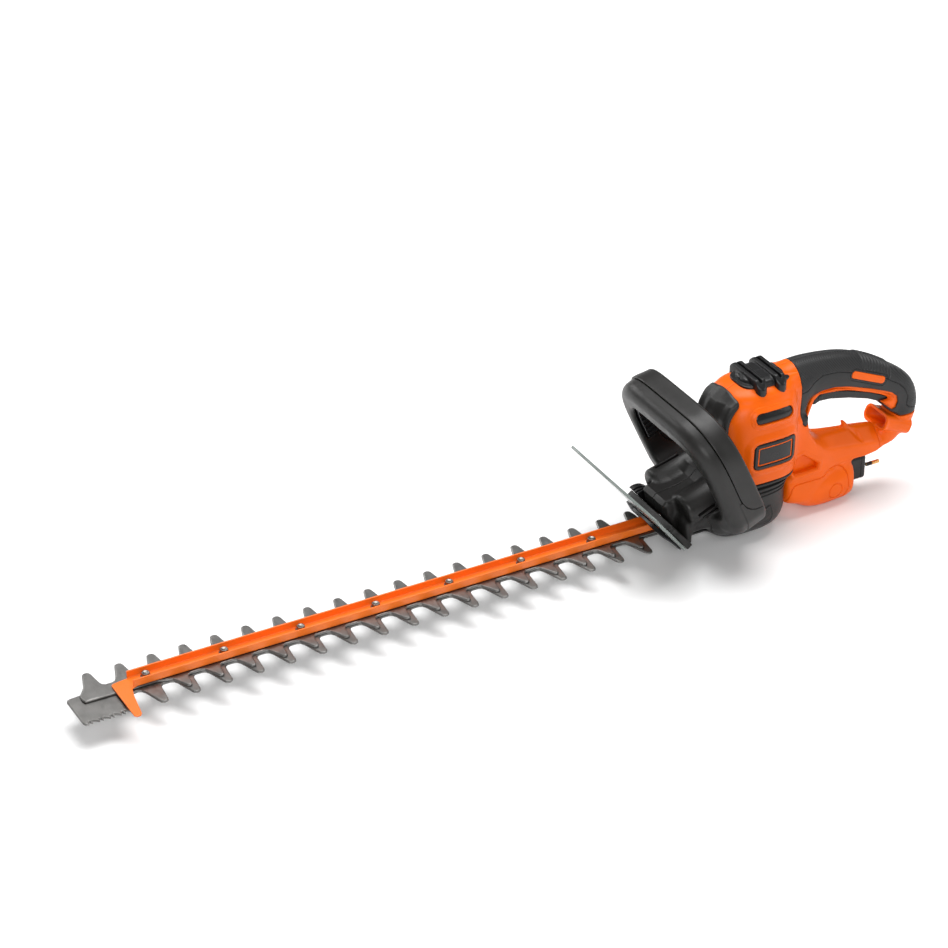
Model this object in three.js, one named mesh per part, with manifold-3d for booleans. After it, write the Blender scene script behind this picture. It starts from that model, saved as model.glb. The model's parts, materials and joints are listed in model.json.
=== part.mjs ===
// Electric hedge trimmer with a dual-action blade, a loop front handle and a D-shaped rear handle.
// Millimetres. The origin is on the motor's vertical axis, at the flat underside of the gear case.
// +X points to the rear handle, -X to the blade's tip, +Y to the left side, and +Z up.

import * as THREE from 'three';
import { mergeVertices } from 'three/addons/utils/BufferGeometryUtils.js';
import Module from 'manifold-3d';

const wasm = await Module();
wasm.setup();

// ---------------------------------------------------------------- driving dimensions

const GAP = 0.3;
const WALL = 3;

// cutting unit
const BLADE_TOP = 22;
const BLADE_THICKNESS = 2.2;
const TOOTH_PITCH = 32;
const UPPER_LONG_TEETH = 19;
const LOWER_LONG_TEETH = 17;
const LAST_UPPER_TOOTH = -118;
const LAST_LOWER_TOOTH = -134;
const LONG_TOOTH_REACH = 36;
const SHORT_TOOTH_REACH = 28;
const SPINE_HALF_WIDTH = 11;
const UPPER_BLADE_FRONT = -712;
const SAW_FRONT = -724;
const BLADE_HALF_STROKE = 6;
const BAR_FRONT = -664;
const BAR_REAR = -98;
const BAR_HALF_WIDTH = 8.5;
const BAR_HEIGHT = 8.4;
const BAR_SHEET = 1.5;
const BOLT_COUNT = 7;
const LAST_BOLT = -177.6;
const BOLT_PITCH = 78.4;
const BOLT_RADIUS = 2.8;

// drive
const MODULE = 1.25;
const PINION_TEETH = 8;
const CRANK_TEETH = 46;
const CRANK_X = -(MODULE * (PINION_TEETH + CRANK_TEETH)) / 2;
const CRANK_BASE = 24;
const CRANK_TOP = 33;
const CAM_THROW = BLADE_HALF_STROKE;
const CAM_RADIUS = 11.5;
const AXLE_RADIUS = 3.4;

// motor
const SHAFT_RADIUS = 4;
const BEARING_OUTER = 11;
const ARMATURE_RADIUS = 20;
const STATOR_INNER = 21;
const STATOR_OUTER = 31;

// casings
const CASE_TOP = 57;
const HOUSING_BASE = 60;
const CASE_HALF_WIDTH = 40;

// loop handle: its plane leans forward and its depth runs forward along the plane's normal
const LOOP_LEAN = THREE.MathUtils.degToRad(24.5);
const LOOP_ORIGIN = new THREE.Vector3(-32.5, 0, 65.5);
const LOOP_HALF_WIDTH = 85;
const LOOP_TOP = 111.5;
const LOOP_CORNER = 45;
const LOOP_DEPTH = 39;
const LOOP_SPLIT = 25;
const LOOP_THICKNESS = 24;
const SWITCH_BAR_TRAVEL = 4;

// hand guard
const GUARD_LEAN = THREE.MathUtils.degToRad(39.5);
const GUARD_FOOT = new THREE.Vector3(-103, 0, 24);
const GUARD_THICKNESS = 3;

// cable tube through the rear handle's lower corner
const TUBE_LEAN = THREE.MathUtils.degToRad(22);
const TUBE_MOUTH = new THREE.Vector3(153, 0, 71.5);
const TUBE_LENGTH = 36;

// trigger
const TRIGGER_PIVOT = new THREE.Vector3(76, 0, 120);

// ---------------------------------------------------------------- colours

function finish(color, roughness, metalness = 0) {
  return new THREE.MeshStandardMaterial({ color, roughness, metalness });
}

const ORANGE = 0xf26a10;
const CHARCOAL = 0x33343a;
const BLACK = 0x1c1d20;
const STEEL = 0x8c8a87;

// ---------------------------------------------------------------- geometry helpers

/** A closed manifold solid from a three.js geometry. */
function solidOf(geometry) {
  const bare = geometry.clone();
  bare.deleteAttribute('normal');
  bare.deleteAttribute('uv');
  const merged = mergeVertices(bare, 1e-4);
  const mesh = new wasm.Mesh({
    numProp: 3,
    vertProperties: merged.attributes.position.array,
    triVerts: new Uint32Array(merged.index.array),
  });
  return new wasm.Manifold(mesh);
}

/** A three.js geometry from a manifold solid. */
function geometryOf(solid) {
  const mesh = solid.getMesh();
  const geometry = new THREE.BufferGeometry();
  geometry.setAttribute('position', new THREE.BufferAttribute(mesh.vertProperties, 3));
  geometry.setIndex(new THREE.BufferAttribute(mesh.triVerts, 1));
  geometry.computeVertexNormals();
  return geometry;
}

function union(...solids) {
  return solids.reduce((all, one) => all.add(one));
}

function cut(body, ...tools) {
  return tools.reduce((left, tool) => left.subtract(tool), body);
}

/** A box given by its low and high corner on each axis. */
function box([x0, x1], [y0, y1], [z0, z1]) {
  const geometry = new THREE.BoxGeometry(x1 - x0, y1 - y0, z1 - z0);
  geometry.translate((x0 + x1) / 2, (y0 + y1) / 2, (z0 + z1) / 2);
  return solidOf(geometry);
}

/** A cylinder from one end point to the other. */
function rod(from, to, radius, segments = 20) {
  const axis = new THREE.Vector3().subVectors(to, from);
  const geometry = new THREE.CylinderGeometry(radius, radius, axis.length(), segments);
  const upright = new THREE.Vector3(0, 1, 0);
  const turn = new THREE.Quaternion().setFromUnitVectors(upright, axis.clone().normalize());
  geometry.applyQuaternion(turn);
  geometry.translate((from.x + to.x) / 2, (from.y + to.y) / 2, (from.z + to.z) / 2);
  return solidOf(geometry);
}

/** A vertical cylinder on the axis through (x, y). */
function post(x, y, z0, z1, radius, segments = 24) {
  return rod(new THREE.Vector3(x, y, z0), new THREE.Vector3(x, y, z1), radius, segments);
}

/** A flat shape pushed along the normal of the plane spanned by the unit vectors u and v. */
function slab(shape, origin, u, v, from, to) {
  const extrusion = { depth: to - from, bevelEnabled: false, curveSegments: 2 };
  const geometry = new THREE.ExtrudeGeometry(shape, extrusion);
  const normal = new THREE.Vector3().crossVectors(u, v);
  const base = origin.clone().addScaledVector(normal, from);
  geometry.applyMatrix4(new THREE.Matrix4().makeBasis(u, v, normal).setPosition(base));
  return solidOf(geometry);
}

const X = new THREE.Vector3(1, 0, 0);
const Y = new THREE.Vector3(0, 1, 0);
const Z = new THREE.Vector3(0, 0, 1);
const ZERO = new THREE.Vector3();

/** A plan shape in X and Y between two heights. */
function plate(shape, z0, z1) {
  return slab(shape, ZERO, X, Y, z0, z1);
}

/** A side shape in X and Z between two places on Y. */
function panel(shape, y0, y1) {
  return slab(shape, ZERO, X, Z, -y1, -y0);
}

function polygon(points) {
  return new THREE.Shape(points.map(([a, b]) => new THREE.Vector2(a, b)));
}

/** A rectangle with round corners, centred on (cx, cy). */
function roundedRectangle(cx, cy, width, height, radius) {
  const shape = new THREE.Shape();
  const corners = [[1, 1], [-1, 1], [-1, -1], [1, -1]];
  corners.forEach(([sx, sy], i) => {
    const start = (i * Math.PI) / 2;
    const x = cx + sx * (width / 2 - radius);
    const y = cy + sy * (height / 2 - radius);
    shape.absarc(x, y, radius, start, start + Math.PI / 2, false);
  });
  return shape;
}

/** A ring of points round a centre: an ellipse at power 2, nearly a rectangle at power 6. */
function ring(center, u, v, halfU, halfV, power = 2, count = 28) {
  const squash = (c) => Math.sign(c) * Math.abs(c) ** (2 / power);
  return Array.from({ length: count }, (_, i) => {
    const angle = (2 * Math.PI * i) / count;
    return center
      .clone()
      .addScaledVector(u, halfU * squash(Math.cos(angle)))
      .addScaledVector(v, halfV * squash(Math.sin(angle)));
  });
}

/** A closed body through rings that all have the same number of points. */
function loft(rings) {
  const count = rings[0].length;
  const points = rings.flat();
  const index = [];
  for (let r = 0; r + 1 < rings.length; r += 1) {
    for (let i = 0; i < count; i += 1) {
      const a = r * count + i;
      const b = r * count + ((i + 1) % count);
      index.push(a, b, a + count, b, b + count, a + count);
    }
  }
  const last = (rings.length - 1) * count;
  for (let i = 1; i + 1 < count; i += 1) {
    index.push(0, i + 1, i, last, last + i, last + i + 1);
  }
  const geometry = new THREE.BufferGeometry().setFromPoints(points);
  geometry.setIndex(index);
  const solid = solidOf(geometry);
  if (solid.volume() > 0) {
    return solid;
  }
  const flipped = index.slice();
  for (let i = 0; i < flipped.length; i += 3) {
    [flipped[i], flipped[i + 1]] = [flipped[i + 1], flipped[i]];
  }
  geometry.setIndex(flipped);
  return solidOf(geometry);
}

/** A bar of changing section that follows a path in the XZ plane. */
function sweep(stations, steps, inset = 0, count = 12) {
  const path = new THREE.CatmullRomCurve3(stations.map((s) => new THREE.Vector3(s.x, 0, s.z)));
  const sizes = new THREE.CatmullRomCurve3(stations.map((s) => new THREE.Vector3(s.thick, s.half, 0)));
  const rings = [];
  for (let i = 0; i <= steps; i += 1) {
    const t = i / steps;
    const tangent = path.getTangent(t);
    const across = new THREE.Vector3(-tangent.z, 0, tangent.x);
    const size = sizes.getPoint(t);
    rings.push(ring(path.getPoint(t), across, Y, size.x - inset, size.y - inset, 2.4, count));
  }
  return loft(rings);
}

const LEFT_HALF = box([-400, 400], [GAP / 2, 200], [-100, 300]);
const RIGHT_HALF = box([-400, 400], [-200, -GAP / 2], [-100, 300]);

// ---------------------------------------------------------------- blades

/** One tooth's outline from its tip-side root to its rear root; side is +1 on the left, -1 on the right. */
function tooth(x, side, reach, slim) {
  return [
    [x - 11 + slim, side * SPINE_HALF_WIDTH],
    [x - 3.5 + slim / 2, side * (reach - 2.5)],
    [x - 1.5 + slim / 2, side * reach],
    [x + 3 - slim / 2, side * reach],
    [x + 5 - slim / 2, side * (reach - 2.5)],
    [x + 8.5 - slim, side * SPINE_HALF_WIDTH],
  ];
}

function toothRow(last, count, side, reach, slim) {
  const outline = [];
  for (let k = 0; k < count; k += 1) {
    outline.push(...tooth(last - (count - 1 - k) * TOOTH_PITCH, side, reach, slim));
  }
  return outline;
}

/** Slots for the bolts, the yoke window round the cam, and nothing else, cut through a blade. */
function bladeCuts() {
  const holes = [];
  const slotLength = 2 * (BLADE_HALF_STROKE + BOLT_RADIUS) + 1;
  for (let k = 0; k < BOLT_COUNT; k += 1) {
    const x = LAST_BOLT - k * BOLT_PITCH;
    const halfWidth = BOLT_RADIUS + 0.4;
    holes.push(box([x - slotLength / 2, x + slotLength / 2], [-halfWidth, halfWidth], [0, 40]));
  }
  const yokeX = [CRANK_X - YOKE_HALF_LENGTH, CRANK_X + YOKE_HALF_LENGTH];
  holes.push(box(yokeX, [-YOKE_HALF_WIDTH, YOKE_HALF_WIDTH], [0, 40]));
  return holes;
}

const YOKE_HALF_LENGTH = CAM_THROW + CAM_RADIUS + BLADE_HALF_STROKE + 0.6;
const YOKE_HALF_WIDTH = CAM_THROW + CAM_RADIUS + 0.6;
const TAIL_REAR = CRANK_X + YOKE_HALF_LENGTH + 5;
const TAIL_FRONT = CRANK_X - YOKE_HALF_LENGTH - 5;
const TAIL_HALF_WIDTH = YOKE_HALF_WIDTH + 4;

const TAIL_LEFT = [
  [TAIL_FRONT, SPINE_HALF_WIDTH],
  [TAIL_FRONT, TAIL_HALF_WIDTH],
  [TAIL_REAR, TAIL_HALF_WIDTH],
];
const TAIL_RIGHT = TAIL_LEFT.map(([x, y]) => [x, -y]);

function upperBlade() {
  const shortTeeth = toothRow(LAST_LOWER_TOOTH - 3, LOWER_LONG_TEETH - 1, -1, SHORT_TOOTH_REACH, 2);
  const outline = polygon([
    [UPPER_BLADE_FRONT + 2, -8],
    [UPPER_BLADE_FRONT, 0],
    [UPPER_BLADE_FRONT + 3, 8],
    ...toothRow(LAST_UPPER_TOOTH, UPPER_LONG_TEETH, 1, LONG_TOOTH_REACH, 0),
    ...TAIL_LEFT,
    ...TAIL_RIGHT.slice().reverse(),
    ...shortTeeth.slice().reverse(),
    [-640, -8],
  ]);
  const body = plate(outline, BLADE_TOP - BLADE_THICKNESS, BLADE_TOP);
  return cut(body, ...bladeCuts());
}

function lowerBlade() {
  const top = BLADE_TOP - BLADE_THICKNESS - 0.25;
  const sawTeeth = [];
  for (let k = 0; k < 4; k += 1) {
    const x = -719.5 + 10.5 * k;
    sawTeeth.push([x, -36.5], [x + 2, -32], [x + 4.5, -36.5]);
  }
  const longTeeth = toothRow(LAST_LOWER_TOOTH, LOWER_LONG_TEETH, -1, LONG_TOOTH_REACH + 1, 0);
  const outline = polygon([
    [SAW_FRONT, 5],
    [SAW_FRONT + 3, 8],
    ...toothRow(LAST_UPPER_TOOTH - 3, UPPER_LONG_TEETH - 1, 1, SHORT_TOOTH_REACH, 2),
    ...TAIL_LEFT,
    ...TAIL_RIGHT.slice().reverse(),
    ...longTeeth.slice().reverse(),
    [-667, -12],
    [-677, -36],
    ...sawTeeth.slice().reverse(),
    [SAW_FRONT, -34],
  ]);
  const body = plate(outline, top - BLADE_THICKNESS, top);
  return cut(body, ...bladeCuts());
}

/** The upturned channel over the blades, with its flat hook at the tip. */
function supportBar() {
  const floor = BLADE_TOP + GAP;
  const outer = box([BAR_FRONT, BAR_REAR], [-BAR_HALF_WIDTH, BAR_HALF_WIDTH], [floor, floor + BAR_HEIGHT]);
  const innerHalf = BAR_HALF_WIDTH - BAR_SHEET;
  const trough = box([BAR_FRONT - 1, BAR_REAR + 1], [-innerHalf, innerHalf], [floor + BAR_SHEET, 60]);
  const hook = polygon([
    [-681, 3],
    [-679, 5],
    [BAR_FRONT + 0.5, 6.5],
    [BAR_FRONT + 0.5, -9],
    [-666, -12],
    [-673, -49],
    [-675, -52],
    [-680, -52],
    [-681.5, -49],
  ]);
  const holes = [];
  for (let k = 0; k < BOLT_COUNT; k += 1) {
    holes.push(post(LAST_BOLT - k * BOLT_PITCH, 0, 0, 60, BOLT_RADIUS + GAP + 0.1, 10));
  }
  return cut(union(cut(outer, trough), plate(hook, floor, floor + BAR_SHEET)), ...holes);
}

/** A shoulder bolt: head on the channel's floor, shank through the slots, swaged disc below. */
function bladeBolt(x) {
  const headBase = BLADE_TOP + GAP + BAR_SHEET + GAP;
  const discTop = BLADE_TOP - 2 * BLADE_THICKNESS - 0.55;
  return union(
    post(x, 0, headBase, headBase + 1, 5, 10),
    post(x, 0, headBase + 0.5, headBase + 5, 3.9, 6),
    post(x, 0, discTop - 1, headBase + 1, BOLT_RADIUS, 10),
    post(x, 0, discTop - 2.2, discTop, 5.2, 10),
  );
}

// ---------------------------------------------------------------- drive

/** A spur gear's outline; the first tooth points along the given angle. */
function gearShape(teeth, firstAngle) {
  const pitch = (2 * Math.PI) / teeth;
  const pitchRadius = (MODULE * teeth) / 2;
  const outer = pitchRadius + 0.75 * MODULE;
  const root = pitchRadius - 1.15 * MODULE;
  const points = [];
  const corner = (radius, angle) => points.push([radius * Math.cos(angle), radius * Math.sin(angle)]);
  for (let k = 0; k < teeth; k += 1) {
    const angle = firstAngle + k * pitch;
    corner(root, angle - 0.27 * pitch);
    corner(outer, angle - 0.1 * pitch);
    corner(outer, angle + 0.1 * pitch);
    corner(root, angle + 0.27 * pitch);
  }
  return points;
}

/** An eccentric disc under the crank gear; side is the way its throw points. */
function cam(side, z0, z1) {
  return post(CRANK_X, side * CAM_THROW, z0, z1, CAM_RADIUS, 24);
}

/** The gear, its hub and the two eccentrics that push the blades, machined in one. */
function crankGear() {
  const outline = gearShape(CRANK_TEETH, Math.PI / CRANK_TEETH).map(([x, y]) => [x + CRANK_X, y]);
  const web = post(CRANK_X, 0, CRANK_TOP - 4, CRANK_TOP + 1, 26, 16);
  const hub = post(CRANK_X, 0, CRANK_TOP - 5, CRANK_TOP, 8, 12);
  const gear = cut(plate(polygon(outline), CRANK_BASE, CRANK_TOP), web);
  const split = BLADE_TOP - BLADE_THICKNESS;
  const body = union(gear, hub, cam(1, split - 0.2, CRANK_BASE), cam(-1, 17, split - 0.2));
  return cut(body, post(CRANK_X, 0, 0, 60, AXLE_RADIUS + 0.1));
}

function washer(z0, z1, inner, outer, x = 0) {
  return cut(post(x, 0, z0, z1, outer, 20), post(x, 0, z0 - 1, z1 + 1, inner, 16));
}

function motorShaft() {
  const profile = [[0, 22.5], [2, 22.5], [2, 37], [SHAFT_RADIUS, 37], [SHAFT_RADIUS, 155], [0, 155]];
  const geometry = new THREE.LatheGeometry(profile.map(([r, y]) => new THREE.Vector2(r, y)), 20);
  geometry.rotateX(Math.PI / 2);
  return solidOf(geometry);
}

/** The wound core: a slotted drum with its end windings. */
function armature() {
  const slots = [];
  for (let k = 0; k < 8; k += 1) {
    const angle = (k * Math.PI) / 4;
    slots.push(post(19 * Math.cos(angle), 19 * Math.sin(angle), 80, 126, 2.6, 4));
  }
  const body = union(post(0, 0, 82, 124, ARMATURE_RADIUS, 24), post(0, 0, 76, 129, 15, 16));
  return cut(body, ...slots, post(0, 0, 60, 140, SHAFT_RADIUS + GAP, 12));
}

function commutator() {
  return washer(130, 143, SHAFT_RADIUS + GAP, 11);
}

/** The field core: a ring with two pole shoes and a flat on each side. */
function stator() {
  const body = cut(post(0, 0, 78, 127, STATOR_OUTER, 36), post(0, 0, 70, 130, STATOR_INNER, 36));
  const flats = [box([-40, 40], [28, 40], [70, 130]), box([-40, 40], [-40, -28], [70, 130])];
  return cut(body, ...flats);
}

/** The cooling fan: a disc with straight radial blades and a hub. */
function fan() {
  const blades = [];
  for (let k = 0; k < 8; k += 1) {
    const geometry = new THREE.BoxGeometry(19, 1.6, 8);
    geometry.translate(18.5, 0, 69.5);
    geometry.rotateZ((Math.PI * k) / 4);
    blades.push(solidOf(geometry));
  }
  const body = union(post(0, 0, 64, 66, 30, 24), post(0, 0, 65, 73, 10, 16), ...blades);
  return cut(body, post(0, 0, 60, 75, SHAFT_RADIUS + GAP, 12));
}

/** A coil spring from a foot point along a unit direction. */
function coil(foot, along, length, radius, wire, turns) {
  const side = new THREE.Vector3().crossVectors(along, Y).normalize();
  const other = new THREE.Vector3().crossVectors(along, side);
  const steps = turns * 6;
  const points = [];
  for (let i = 0; i <= steps; i += 1) {
    const angle = (i * Math.PI) / 3;
    const lift = wire + ((length - 2 * wire) * i) / steps;
    points.push(foot.clone().addScaledVector(along, lift)
      .addScaledVector(side, radius * Math.cos(angle))
      .addScaledVector(other, radius * Math.sin(angle)));
  }
  const section = new THREE.Shape();
  section.absarc(0, 0, wire, 0, 2 * Math.PI, false);
  const geometry = new THREE.ExtrudeGeometry(section, {
    steps,
    curveSegments: 2,
    bevelEnabled: false,
    extrudePath: new THREE.CatmullRomCurve3(points),
  });
  return solidOf(geometry);
}

// ---------------------------------------------------------------- motor housing and rear handle

const MOTOR_LEVELS = [
  { z: HOUSING_BASE, front: -43, rear: 42, half: 39 },
  { z: 80, front: -45, rear: 43, half: 40 },
  { z: 118, front: -45, rear: 43, half: 40 },
  { z: 134, front: -43, rear: 43, half: 37.5 },
  { z: 147, front: -35, rear: 41, half: 32 },
  { z: 156, front: -24, rear: 36, half: 24 },
  { z: 160.5, front: -10, rear: 28, half: 13 },
];

function motorBody(inset, stretch = 0) {
  const rings = MOTOR_LEVELS.map(({ z, front, rear, half }, i) => {
    const height = i === 0 ? z - stretch : z - (inset * i) / (MOTOR_LEVELS.length - 1);
    const center = new THREE.Vector3((front + rear) / 2, 0, height);
    return ring(center, X, Y, (rear - front) / 2 - inset, half - inset, 3, 16);
  });
  return loft(rings);
}

const GRIP_STEPS = 18;
const GRIP_PATH = [
  { x: 28, z: 141, thick: 22, half: 18 },
  { x: 58, z: 144, thick: 22, half: 18 },
  { x: 97, z: 140.5, thick: 21, half: 17.5 },
  { x: 127, z: 131.5, thick: 19, half: 17 },
  { x: 153, z: 118.5, thick: 17, half: 16.5 },
  { x: 174, z: 103, thick: 17, half: 16.5 },
  { x: 182, z: 86, thick: 16.5, half: 16 },
  { x: 178, z: 68, thick: 15.5, half: 16 },
  { x: 165, z: 54, thick: 16, half: 16 },
  { x: 145, z: 49.5, thick: 16, half: 17 },
  { x: 118, z: 53, thick: 17, half: 18 },
  { x: 92, z: 55.5, thick: 18.5, half: 20 },
  { x: 60, z: 60, thick: 22, half: 24 },
  { x: 24, z: 62, thick: 24, half: 26 },
];

/** The swelling under the rear handle that holds the mains inlet. */
function plugPod(inset) {
  const section = (x, half, tall, z) => ring(
    new THREE.Vector3(x, 0, z), Y, Z, half - inset, tall - inset, 2.6, 14,
  );
  return loft([
    section(36 + inset, 22, 15, 29),
    section(48, 22.5, 18, 25),
    section(68, 23, 21, 18),
    section(98, 23, 21, 16),
    section(114, 21, 20, 17),
    section(120.5 - inset, 17.5, 17, 18),
  ]);
}

/** The stem that joins the motor housing, the rear handle's front leg and the plug pod. */
function rearStem(inset) {
  const level = (z, front, rear, half) => ring(
    new THREE.Vector3((front + rear) / 2, 0, z), X, Y, (rear - front) / 2 - inset, half - inset, 3, 14,
  );
  return loft([
    level(14 + inset, 36, 66, 20),
    level(40, 35.5, 100, 21),
    level(57, 37.5, 88, 21),
    level(64, 20, 84, 21),
    level(84, 20, 71, 19),
    level(120, 20, 68, 18),
    level(150 - inset, 20, 68, 18),
  ]);
}

/** The flat tube for the cable's loop, sloping down to the rear; grow widens it on every side. */
function cableTube(grow, overrun) {
  const up = new THREE.Vector3(Math.sin(TUBE_LEAN), 0, Math.cos(TUBE_LEAN));
  const outline = roundedRectangle(0, 0, 36 + 2 * grow, 17 + 2 * grow, 7 + grow);
  return slab(outline, TUBE_MOUTH, Y, up, -overrun, TUBE_LENGTH + overrun);
}

/** The small hook on the lower bar that the cable's loop hangs on. */
function cableHook() {
  return panel(polygon([[111, 77], [113, 78.5], [130, 60], [112, 60]]), -2, 2);
}

function orangeBody(inset) {
  return union(motorBody(inset), sweep(GRIP_PATH, GRIP_STEPS, inset), plugPod(inset), rearStem(inset));
}

/** The room inside the clamshell, open at the bottom of the motor housing. */
function orangeHollow() {
  const grip = sweep(GRIP_PATH, 13, WALL + 0.6, 8);
  return union(motorBody(WALL, 5), grip, plugPod(WALL), rearStem(WALL));
}

/** The slot along the grip's underside that the trigger comes out of. */
const TRIGGER_SLOT = polygon([
  [66, 108], [66, 126], [90, 132], [112, 127], [136, 119],
  [162, 109], [169, 100], [168.5, 87], [160, 82], [120, 90],
]);

/** Side outline of the rubber overmould: the grip's top, its front leg and its rear leg. */
const GRIP_SIDE = polygon([
  [48, 180], [48, 103], [53, 99], [57, 101], [61, 114], [73, 130.5], [90, 130.5], [106, 126.4], [135, 115.7],
  [159, 105.3], [168, 96], [167, 86], [160, 84], [168, 72], [205, 72], [205, 180],
]);

const SLOT_SIDE = roundedRectangle(3, 137, 44, 11, 5);
const BADGE_SIDE = roundedRectangle(6, 94.5, 58, 30, 6);
const INSET_LEAN = -0.42;
const INSET_SIDE = new THREE.Shape(
  roundedRectangle(0, 0, 44, 7.5, 3.5)
    .getPoints(2)
    .map((p) => p.rotateAround(new THREE.Vector2(), INSET_LEAN).add(new THREE.Vector2(128.5, 132.5))),
);

const CLEAR_ALL = 60;
const POCKET = 2;
const SKIN = POCKET - GAP;

/** The layer of the orange body between two depths, within a side outline. */
function skin(outline, outerDepth, innerDepth) {
  const column = panel(outline, -CLEAR_ALL, CLEAR_ALL);
  return cut(orangeBody(outerDepth).intersect(column), orangeBody(innerDepth));
}

const PLUG_BOX = { x: [104, 134.5], y: [-15, 15], z: [15, 40] };

const PIN_Z = 25;
const PIN_SPREAD = 9.5;

function plugBox(grow) {
  const wide = ([low, high]) => [low - grow, high + grow];
  return box(wide(PLUG_BOX.x), wide(PLUG_BOX.y), wide(PLUG_BOX.z));
}

function plugBody() {
  const face = PLUG_BOX.x[1];
  const hubStart = new THREE.Vector3(face - 1, 0, PIN_Z - 1);
  const hubEnd = new THREE.Vector3(face + 3, 0, PIN_Z - 1);
  return union(plugBox(0), rod(hubStart, hubEnd, 10));
}

function plugPin(y) {
  return rod(new THREE.Vector3(PLUG_BOX.x[1] + 3.3, y, PIN_Z), new THREE.Vector3(154, y, PIN_Z), 2, 12);
}

/** A screw seen from the left: a round head in the casing's wall and a plain shank behind it. */
function screw(x, z, faceY) {
  const at = (y) => new THREE.Vector3(x, y, z);
  return union(rod(at(faceY - 2.6), at(faceY), 3.6, 12), rod(at(faceY - 16), at(faceY - 2), 1.7, 8));
}

const HOUSING_SCREWS = [
  { x: 62, z: 92, face: 17 },
  { x: 56, z: 36, face: 20 },
  { x: 128, z: 51, face: 16 },
];
const CASE_SCREW = { x: 0, z: 34, face: 37 };

/** The orange clamshell before it is split: hollow, with pockets for the parts set into it. */
function housing() {
  const outside = union(orangeBody(0), cableTube(0, 0), cableHook());
  const hollow = cut(orangeHollow(), cableTube(0.1, 0));
  const sideways = [-CLEAR_ALL, CLEAR_ALL];
  const caseRoom = union(
    box([-50, 34.5], sideways, [0, HOUSING_BASE - GAP]),
    box([-50, 38.6], sideways, [48, HOUSING_BASE - GAP]),
  );
  const pockets = [skin(GRIP_SIDE, -1, POCKET), skin(SLOT_SIDE, -1, 1.5), skin(BADGE_SIDE, -1, 1.5)];
  const shaped = cut(outside, hollow, caseRoom, cableTube(-3, 5), panel(TRIGGER_SLOT, -7, 7), plugBox(GAP));
  const screwHoles = HOUSING_SCREWS.map(({ x, z, face }) => (
    rod(new THREE.Vector3(x, face - 6, z), new THREE.Vector3(x, face + 9, z), 3.9, 12)
  ));
  return cut(shaped, ...pockets, ...screwHoles);
}

/** Side outline of the moulding at the handle's lower rear corner, up to the rubber's edge. */
function cornerSide(inset) {
  return polygon([
    [148.5 + inset, 20], [148.5 + inset, 83 - inset], [157, 83 - inset], [168 - inset, 78.5 - inset],
    [168 - inset, 71.7 - inset], [210, 71.7 - inset], [210, 20],
  ]);
}

/** The clamshell in front of and above the rear corner. */
function mainHousing(whole) {
  return cut(whole, panel(cornerSide(0), -CLEAR_ALL, CLEAR_ALL), cableTube(GAP, GAP));
}

/** The rear corner, which carries the cable's tube. */
function rearCorner(whole) {
  return whole.intersect(union(panel(cornerSide(GAP), -CLEAR_ALL, CLEAR_ALL), cableTube(0, 0)));
}

function overmould() {
  const shrunk = skin(GRIP_SIDE, 0, SKIN);
  return cut(shrunk, cableTube(GAP, 2), skin(INSET_SIDE, -1, 1.2));
}

/** Raised cooling cap on the housing's dome, with two slotted ridges. */
function ventCap() {
  const column = plate(roundedRectangle(5, 0, 58, 56, 20), 130, 180);
  const plateau = motorBody(-2).intersect(column);
  const ridge = polygon([[-28, 145], [-28, 157], [-20, 168], [20, 168], [28, 157], [28, 145]]);
  const groove = polygon([[-21, 162], [-21, 170], [21, 170], [21, 162]]);
  const ridges = [-5, 19].map((x) => {
    const center = new THREE.Vector3(x, 0, 0);
    return cut(slab(ridge, center, Y, Z, -5, 5), slab(groove, center, Y, Z, -1.5, 1.5));
  });
  return cut(union(plateau, ...ridges), motorBody(-GAP), sweep(GRIP_PATH, GRIP_STEPS, -GAP));
}

/** The soft ring between the motor housing and the gear case. */
function gasket() {
  const layer = box([-60, 60], [-60, 60], [CASE_TOP, HOUSING_BASE - 2 * GAP]);
  return cut(motorBody(1.2, 5).intersect(layer), motorBody(5, 10));
}

/** The dark bulge on the housing's front, behind the loop handle. */
function frontCover() {
  const level = (z, front, half) => ring(
    new THREE.Vector3((front - 20) / 2, 0, z), X, Y, (-20 - front) / 2, half, 3, 20,
  );
  const body = loft([level(64, -53, 24), level(90, -56, 25), level(128, -55, 24), level(144, -50, 21),
    level(151, -43, 16)]);
  return cut(body, motorBody(-GAP));
}

// ---------------------------------------------------------------- gear case

const CASE_LEVELS = [
  { z: 1, front: -66, rear: 18, half: 30 },
  { z: 8, front: -73, rear: 25, half: 37 },
  { z: 20, front: -76, rear: 31, half: CASE_HALF_WIDTH },
  { z: 44, front: -74, rear: 32, half: CASE_HALF_WIDTH },
  { z: CASE_TOP, front: -50, rear: 38, half: 38 },
];

function casePot(inset, stretch = 0) {
  const rings = CASE_LEVELS.map(({ z, front, rear, half }, i) => {
    const height = z + (i === 0 ? inset : 0) + (i === CASE_LEVELS.length - 1 ? stretch : 0);
    const middle = new THREE.Vector3((front + rear) / 2, 0, height);
    return ring(middle, X, Y, (rear - front) / 2 - inset, half - inset, 3.2, 16);
  });
  return loft(rings);
}

/** The nose in front of the gear: a block whose roof slopes down to the blades. */
function caseNose(inset) {
  const section = (x, half, low, high) => ring(
    new THREE.Vector3(x, 0, (low + high) / 2), Y, Z, half - inset, (high - low) / 2 - inset, 3, 14,
  );
  return loft([
    section(-93 + inset, 32, 9, 53),
    section(-80, 34, 8, 60),
    section(-62, 36, 6, 72),
    section(-50 - inset, 36, 6, 74),
  ]);
}

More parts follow.
